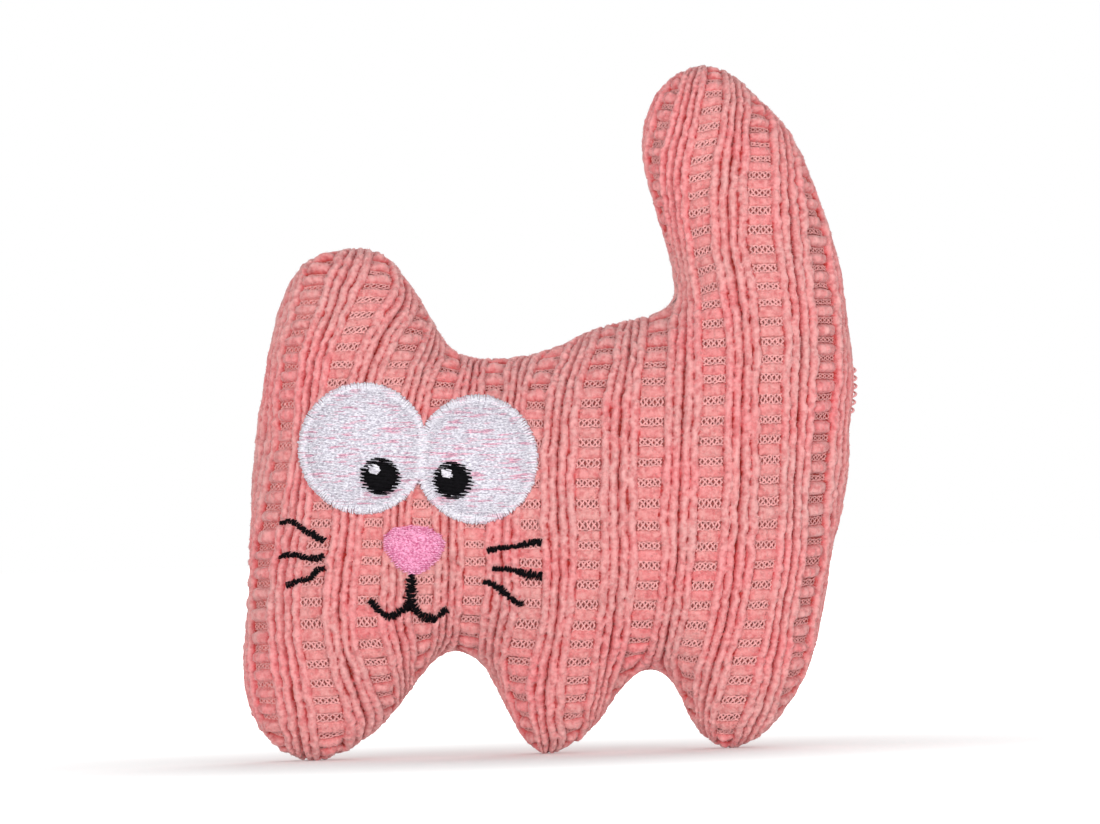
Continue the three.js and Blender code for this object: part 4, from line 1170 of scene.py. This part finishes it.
class CATTOY_OT_closing(bpy.types.Operator):
    """Sew the stuffing hole in the rump shut"""
    bl_idname = "cattoy.closing"
    bl_label = "Closing stitches"

    def execute(self, context):
        knit = context.scene.cattoy_knit
        low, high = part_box("closing_stitches")
        # The thread takes the cords' own tone and the paler tone painted on their tops as painted highlight
        material = thread("closing_thread", knit.lit_tip_colour, knit.pile_colour, 0.3, 0.6)
        rim = shape["rim"]
        rump_from, count, span, thickness = 55, 6, 2.4, 0.55
        rump = rim[rim[:, 0] > rump_from]
        rump = rump[np.argsort(rump[:, 1])]
        runs = []
        for i in range(count):
            points, widths = [], []
            for t in np.linspace(0, 1, 9):
                z = (low.z + (high.z - low.z) * (i + 0.15 + 0.7 * t) / count) / MM
                x = np.interp(z, rump[:, 1], rump[:, 0])
                bow = math.sin(math.pi * t)
                points.append(((x - 0.5 + 0.6 * bow) * MM, (t - 0.5) * span * MM, z * MM))
                widths.append(0.6 + 0.4 * bow)
            runs.append((points, widths))
        sewn = tubes("closing_stitches_thread", runs, thickness * MM)
        dressed(sewn, material, "pink_thread", "closing_stitches")
        return {"FINISHED"}


# The studio

class CATTOY_OT_stage(bpy.types.Operator):
    """Set up the camera, the soft light, the floor and the white surroundings"""
    bl_idname = "cattoy.stage"
    bl_label = "Studio"

    def execute(self, context):
        stage = context.scene.cattoy_stage
        context.scene.view_settings.view_transform = "Standard"
        self.camera(context, stage)
        self.floor()
        self.room(context, stage)
        aim = Vector((0, 0, 0.07))
        for name, place, wide, high, watts in (
                ("key_light", (-0.35, -1.2, 0.13), 0.8, 0.25, stage.key),
                ("fill_light", (0.75, -0.95, 0.13), 0.8, 0.25, 0.6 * stage.key),
                ("back_light", (0.3, 1.1, 0.6), 0.8, 0.8, 0.8 * stage.key)):
            light = bpy.data.lights.new(name, "AREA")
            light.shape, light.size, light.size_y, light.energy = "RECTANGLE", wide, high, watts
            lamp = linked(name, light)
            lamp.location = place
            lamp.rotation_euler = (aim - Vector(place)).to_track_quat("-Z", "Y").to_euler()
        return {"FINISHED"}

    def camera(self, context, stage):
        middle = Vector((0.0009, -stage.distance, 0.0682))
        turn, lean = math.cos(stage.roll), math.sin(stage.roll)
        data = bpy.data.cameras.new("camera")
        data.sensor_width = 36
        data.lens = data.sensor_width * stage.distance / (stage.columns * stage.pixel)
        data.clip_start, data.clip_end = 0.05, 20
        camera = linked("camera", data)
        camera.matrix_world = Matrix((
            (turn, lean, 0, middle.x), (0, 0, -1, middle.y), (-lean, turn, 0, middle.z), (0, 0, 0, 1)))
        context.scene.camera = camera

    def floor(self):
        """Grey under the cat and white to the camera further off."""
        bm = bmesh.new()
        bmesh.ops.create_grid(bm, x_segments=1, y_segments=1, size=4)
        floor = linked("floor", meshed("floor", bm))
        material = bpy.data.materials.new("floor")
        material.use_nodes = True
        tree = material.node_tree
        place = node(tree, "ShaderNodeTexCoord").outputs["Object"]
        far = node(tree, "ShaderNodeVectorMath", {0: place}, operation="LENGTH").outputs["Value"]
        glow = node(tree, "ShaderNodeMapRange", {
            "Value": far, "From Min": 0.04, "From Max": 0.3, "To Min": 0.12, "To Max": 1.0}).outputs["Result"]
        seen = node(tree, "ShaderNodeLightPath").outputs["Is Camera Ray"]
        lit = node(tree, "ShaderNodeMath", {0: seen, 1: glow}, operation="MULTIPLY").outputs["Value"]
        fed(tree, tree.nodes["Principled BSDF"], {
            "Base Color": (0.9, 0.9, 0.9, 1), "Roughness": 1.0, "Specular IOR Level": 0.0,
            "Emission Color": (1, 1, 1, 1), "Emission Strength": lit})
        floor.data.materials.append(material)
        floor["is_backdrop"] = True

    def room(self, context, stage):
        """White to the camera, to gloss and through glass, and the even light for all else."""
        world = bpy.data.worlds.new("room")
        world.use_nodes = True
        tree = world.node_tree
        light = fed(tree, tree.nodes["Background"], {"Color": (1, 1, 1, 1), "Strength": stage.room})
        white = node(tree, "ShaderNodeBackground", {"Color": (1, 1, 1, 1), "Strength": 1.0})
        rays = node(tree, "ShaderNodeLightPath").outputs
        seen = rays["Is Camera Ray"]
        for ray in ("Is Glossy Ray", "Is Transmission Ray"):
            seen = node(tree, "ShaderNodeMath", {0: seen, 1: rays[ray]}, operation="MAXIMUM").outputs[0]
        mix = node(tree, "ShaderNodeMixShader", {0: seen, 1: light.outputs[0], 2: white.outputs[0]})
        fed(tree, tree.nodes["World Output"], {"Surface": mix.outputs[0]})
        context.scene.world = world


class CATTOY_PT_panel(bpy.types.Panel):
    """Lists the toy's pieces in the sidebar"""
    bl_idname = "CATTOY_PT_panel"
    bl_label = "Cat toy"
    bl_space_type = "VIEW_3D"
    bl_region_type = "UI"
    bl_category = "Cat toy"

    def draw(self, context):
        for group in GROUPS:
            settings = getattr(context.scene, group)
            box = self.layout.box()
            for name in settings.bl_rna.properties.keys():
                if name not in ("rna_type", "name"):
                    box.prop(settings, name)
        for operator in OPERATORS:
            self.layout.operator(operator.bl_idname)


OPERATORS = (CATTOY_OT_stage, CATTOY_OT_body, CATTOY_OT_lace, CATTOY_OT_eyes, CATTOY_OT_nose, CATTOY_OT_lines,
             CATTOY_OT_closing)
GROUPS = {"cattoy_knit": KnitSettings, "cattoy_face": FaceSettings, "cattoy_stage": StageSettings}


def register():
    for each in (*GROUPS.values(), *OPERATORS, CATTOY_PT_panel):
        bpy.utils.register_class(each)
    for name, group in GROUPS.items():
        setattr(bpy.types.Scene, name, bpy.props.PointerProperty(type=group))


def unregister():
    for name in GROUPS:
        delattr(bpy.types.Scene, name)
    for each in (CATTOY_PT_panel, *reversed(OPERATORS), *reversed(list(GROUPS.values()))):
        bpy.utils.unregister_class(each)


def main():
    register()
    bpy.ops.cattoy.stage()
    bpy.ops.cattoy.body()
    bpy.ops.cattoy.lace()
    bpy.ops.cattoy.eyes()
    bpy.ops.cattoy.nose()
    bpy.ops.cattoy.lines()
    bpy.ops.cattoy.closing()
    boxes = {"cad": cad_box, "visual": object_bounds()}
    {name: [list(corner) for corner in box] for name, box in boxes.items()}


if __name__ == "__main__":
    main()
